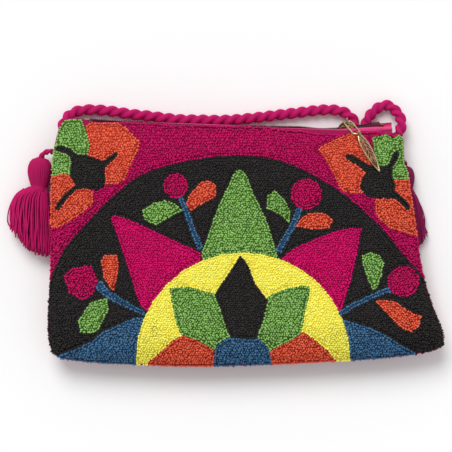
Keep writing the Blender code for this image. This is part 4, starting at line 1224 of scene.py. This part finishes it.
def tassel_skirt(
        side, neck, tip, over, head_radius, half, height, trims, spread, sway, loose, stray, dye, chance):
    """The hanging strands, in layers, with their trimmed ends."""
    fall = (tip - neck).normalized()
    wide = Vector((-fall.y, fall.x, 0)).normalized()
    wide = wide if wide.x > 0 else -wide
    length = (tip - neck).length
    spread = ((0.0, skirt_neck * head_radius / half), *spread)
    lift = ((0.0, skirt_neck * head_radius / height), *skirt_lift)
    lines = []
    for layer, fullness in skirt_layers:
        around = round(math.pi * layer * (half + height) / (2.1 * strand_radius) * fullness)
        for k in range(around):
            angle = math.tau * (k + chance.uniform(-0.35, 0.35)) / around
            across, depth = layer * math.cos(angle), layer * math.sin(angle)
            own_length = length * between(trims, across) * chance.uniform(0.92, 1.03)
            wander = chance.uniform(-loose, loose)
            phase = chance.uniform(0, math.tau)
            line = []
            for step in range(strand_stations):
                share = step / (strand_stations - 1)
                walked = skirt_start * (1 - share) + own_length * share
                reach = walked / length
                aside = across * between(spread, reach) * (half - strand_radius)
                aside += wander * math.sin(phase + 5 * share) * share
                aside += sway * between(skirt_sway, reach)
                above = depth * between(lift, reach) * (height - strand_radius)
                place = neck + fall * walked + wide * aside + over * above
                place.z = max(place.z, strand_radius + off_table)
                line.append(place)
            lines.append(line)
    if stray:
        lines.append(evenly(curve_through([Vector(point) for point in stray], 8), 0.001))
    points, faces, tones = strands(lines, 5, 1.2, chance)
    dressed("tassel_strands_" + side, "tassel_skirt_" + side, points, faces, "bag", dye, tones)


def tassel(side, dye, seed, seam, crown, neck, tip, head_radius, slope, **skirt):
    """A tassel as strands of yarn: its tie, its head, its binding and its skirt."""
    chance = random.Random(seed)
    seam, crown, neck, tip = (Vector(point) for point in (seam, crown, neck, tip))
    down = (neck - crown).normalized()
    out = Vector((-down.y, down.x, 0)).normalized()
    over = out.cross(down).normalized()
    over = over if over.z > 0 else -over
    axes = (down, out, over)
    tassel_tie(side, seam, crown, down, dye)
    tassel_head(side, crown, neck, axes, head_radius, dye, chance)
    tassel_binding(side, neck, axes, head_radius, slope, dye)
    tassel_skirt(side, neck, tip, over, head_radius, dye=dye, chance=chance, **skirt)


tassel(
    "left", tassel_dye, 71, seam=(-0.1493, 0.0718, 0.0162), crown=(-0.1588, 0.0675, 0.0098),
    neck=(-0.1597, 0.0452, 0.0096), tip=(-0.1658, -0.006, 0.0088), head_radius=0.0095, slope=1.0,
    half=0.0156, height=0.0085,
    trims=((-1.0, 0.70), (-0.6, 0.80), (-0.2, 0.95), (0.3, 1.0), (1.0, 1.02)),
    spread=((0.07, 0.62), (0.16, 0.86), (0.32, 0.98), (0.6, 1.02), (1.0, 1.0)),
    sway=-0.0046, loose=0.0021,
    stray=(
        (-0.1715, 0.0436, 0.0095), (-0.1780, 0.0385, 0.0085), (-0.1828, 0.0290, 0.0060),
        (-0.1845, 0.0205, 0.0040), (-0.1838, 0.0160, 0.0028), (-0.1806, 0.0123, 0.0022),
        (-0.1770, 0.0090, 0.0030),
    ),
)
tassel(
    "right", tassel_painted_shade_yarn, 72, seam=(0.1172, 0.0680, 0.0130), crown=(0.1236, 0.0606, 0.0072),
    neck=(0.1248, 0.0434, 0.0066), tip=(0.1284, -0.001, 0.005), head_radius=0.0062, slope=0.0,
    half=0.0108, height=0.0046,
    trims=((-1.0, 0.9), (0.0, 1.0), (0.6, 1.0), (1.0, 0.84)),
    spread=((0.15, 0.58), (0.35, 0.80), (0.6, 1.0), (1.0, 1.12)),
    sway=0.0008, loose=0.0030, stray=(),
)

# Table and light
# A pale table top under soft studio light from above and a little behind the zip.
table_mesh = bpy.data.meshes.new("table")
table_mesh.from_pydata([(-4, -4, 0), (4, -4, 0), (4, 4, 0), (-4, 4, 0)], [], [(0, 1, 2, 3)])
table = bpy.data.objects.new("table", table_mesh)
bpy.context.collection.objects.link(table)
table_finish, _, table_shader = material("pale_table", Roughness=0.9)
table_shader.inputs["Base Color"].default_value = (1, 1, 1, 1)
table_mesh.materials.append(table_finish)

world = bpy.data.worlds.new("studio")
world.use_nodes = True
world.node_tree.nodes["Background"].inputs["Color"].default_value = (1, 1, 1, 1)
world.node_tree.nodes["Background"].inputs["Strength"].default_value = 0.56
bpy.context.scene.world = world
bpy.context.scene.view_settings.view_transform = "Standard"

lamp_data = bpy.data.lights.new("softbox", "SUN")
lamp_data.energy = 1.85
lamp_data.angle = math.radians(35)
lamp = bpy.data.objects.new("softbox", lamp_data)
lamp.rotation_euler = Vector((-0.35, 1.0, 1.25)).to_track_quat("Z", "Y").to_euler()
bpy.context.collection.objects.link(lamp)
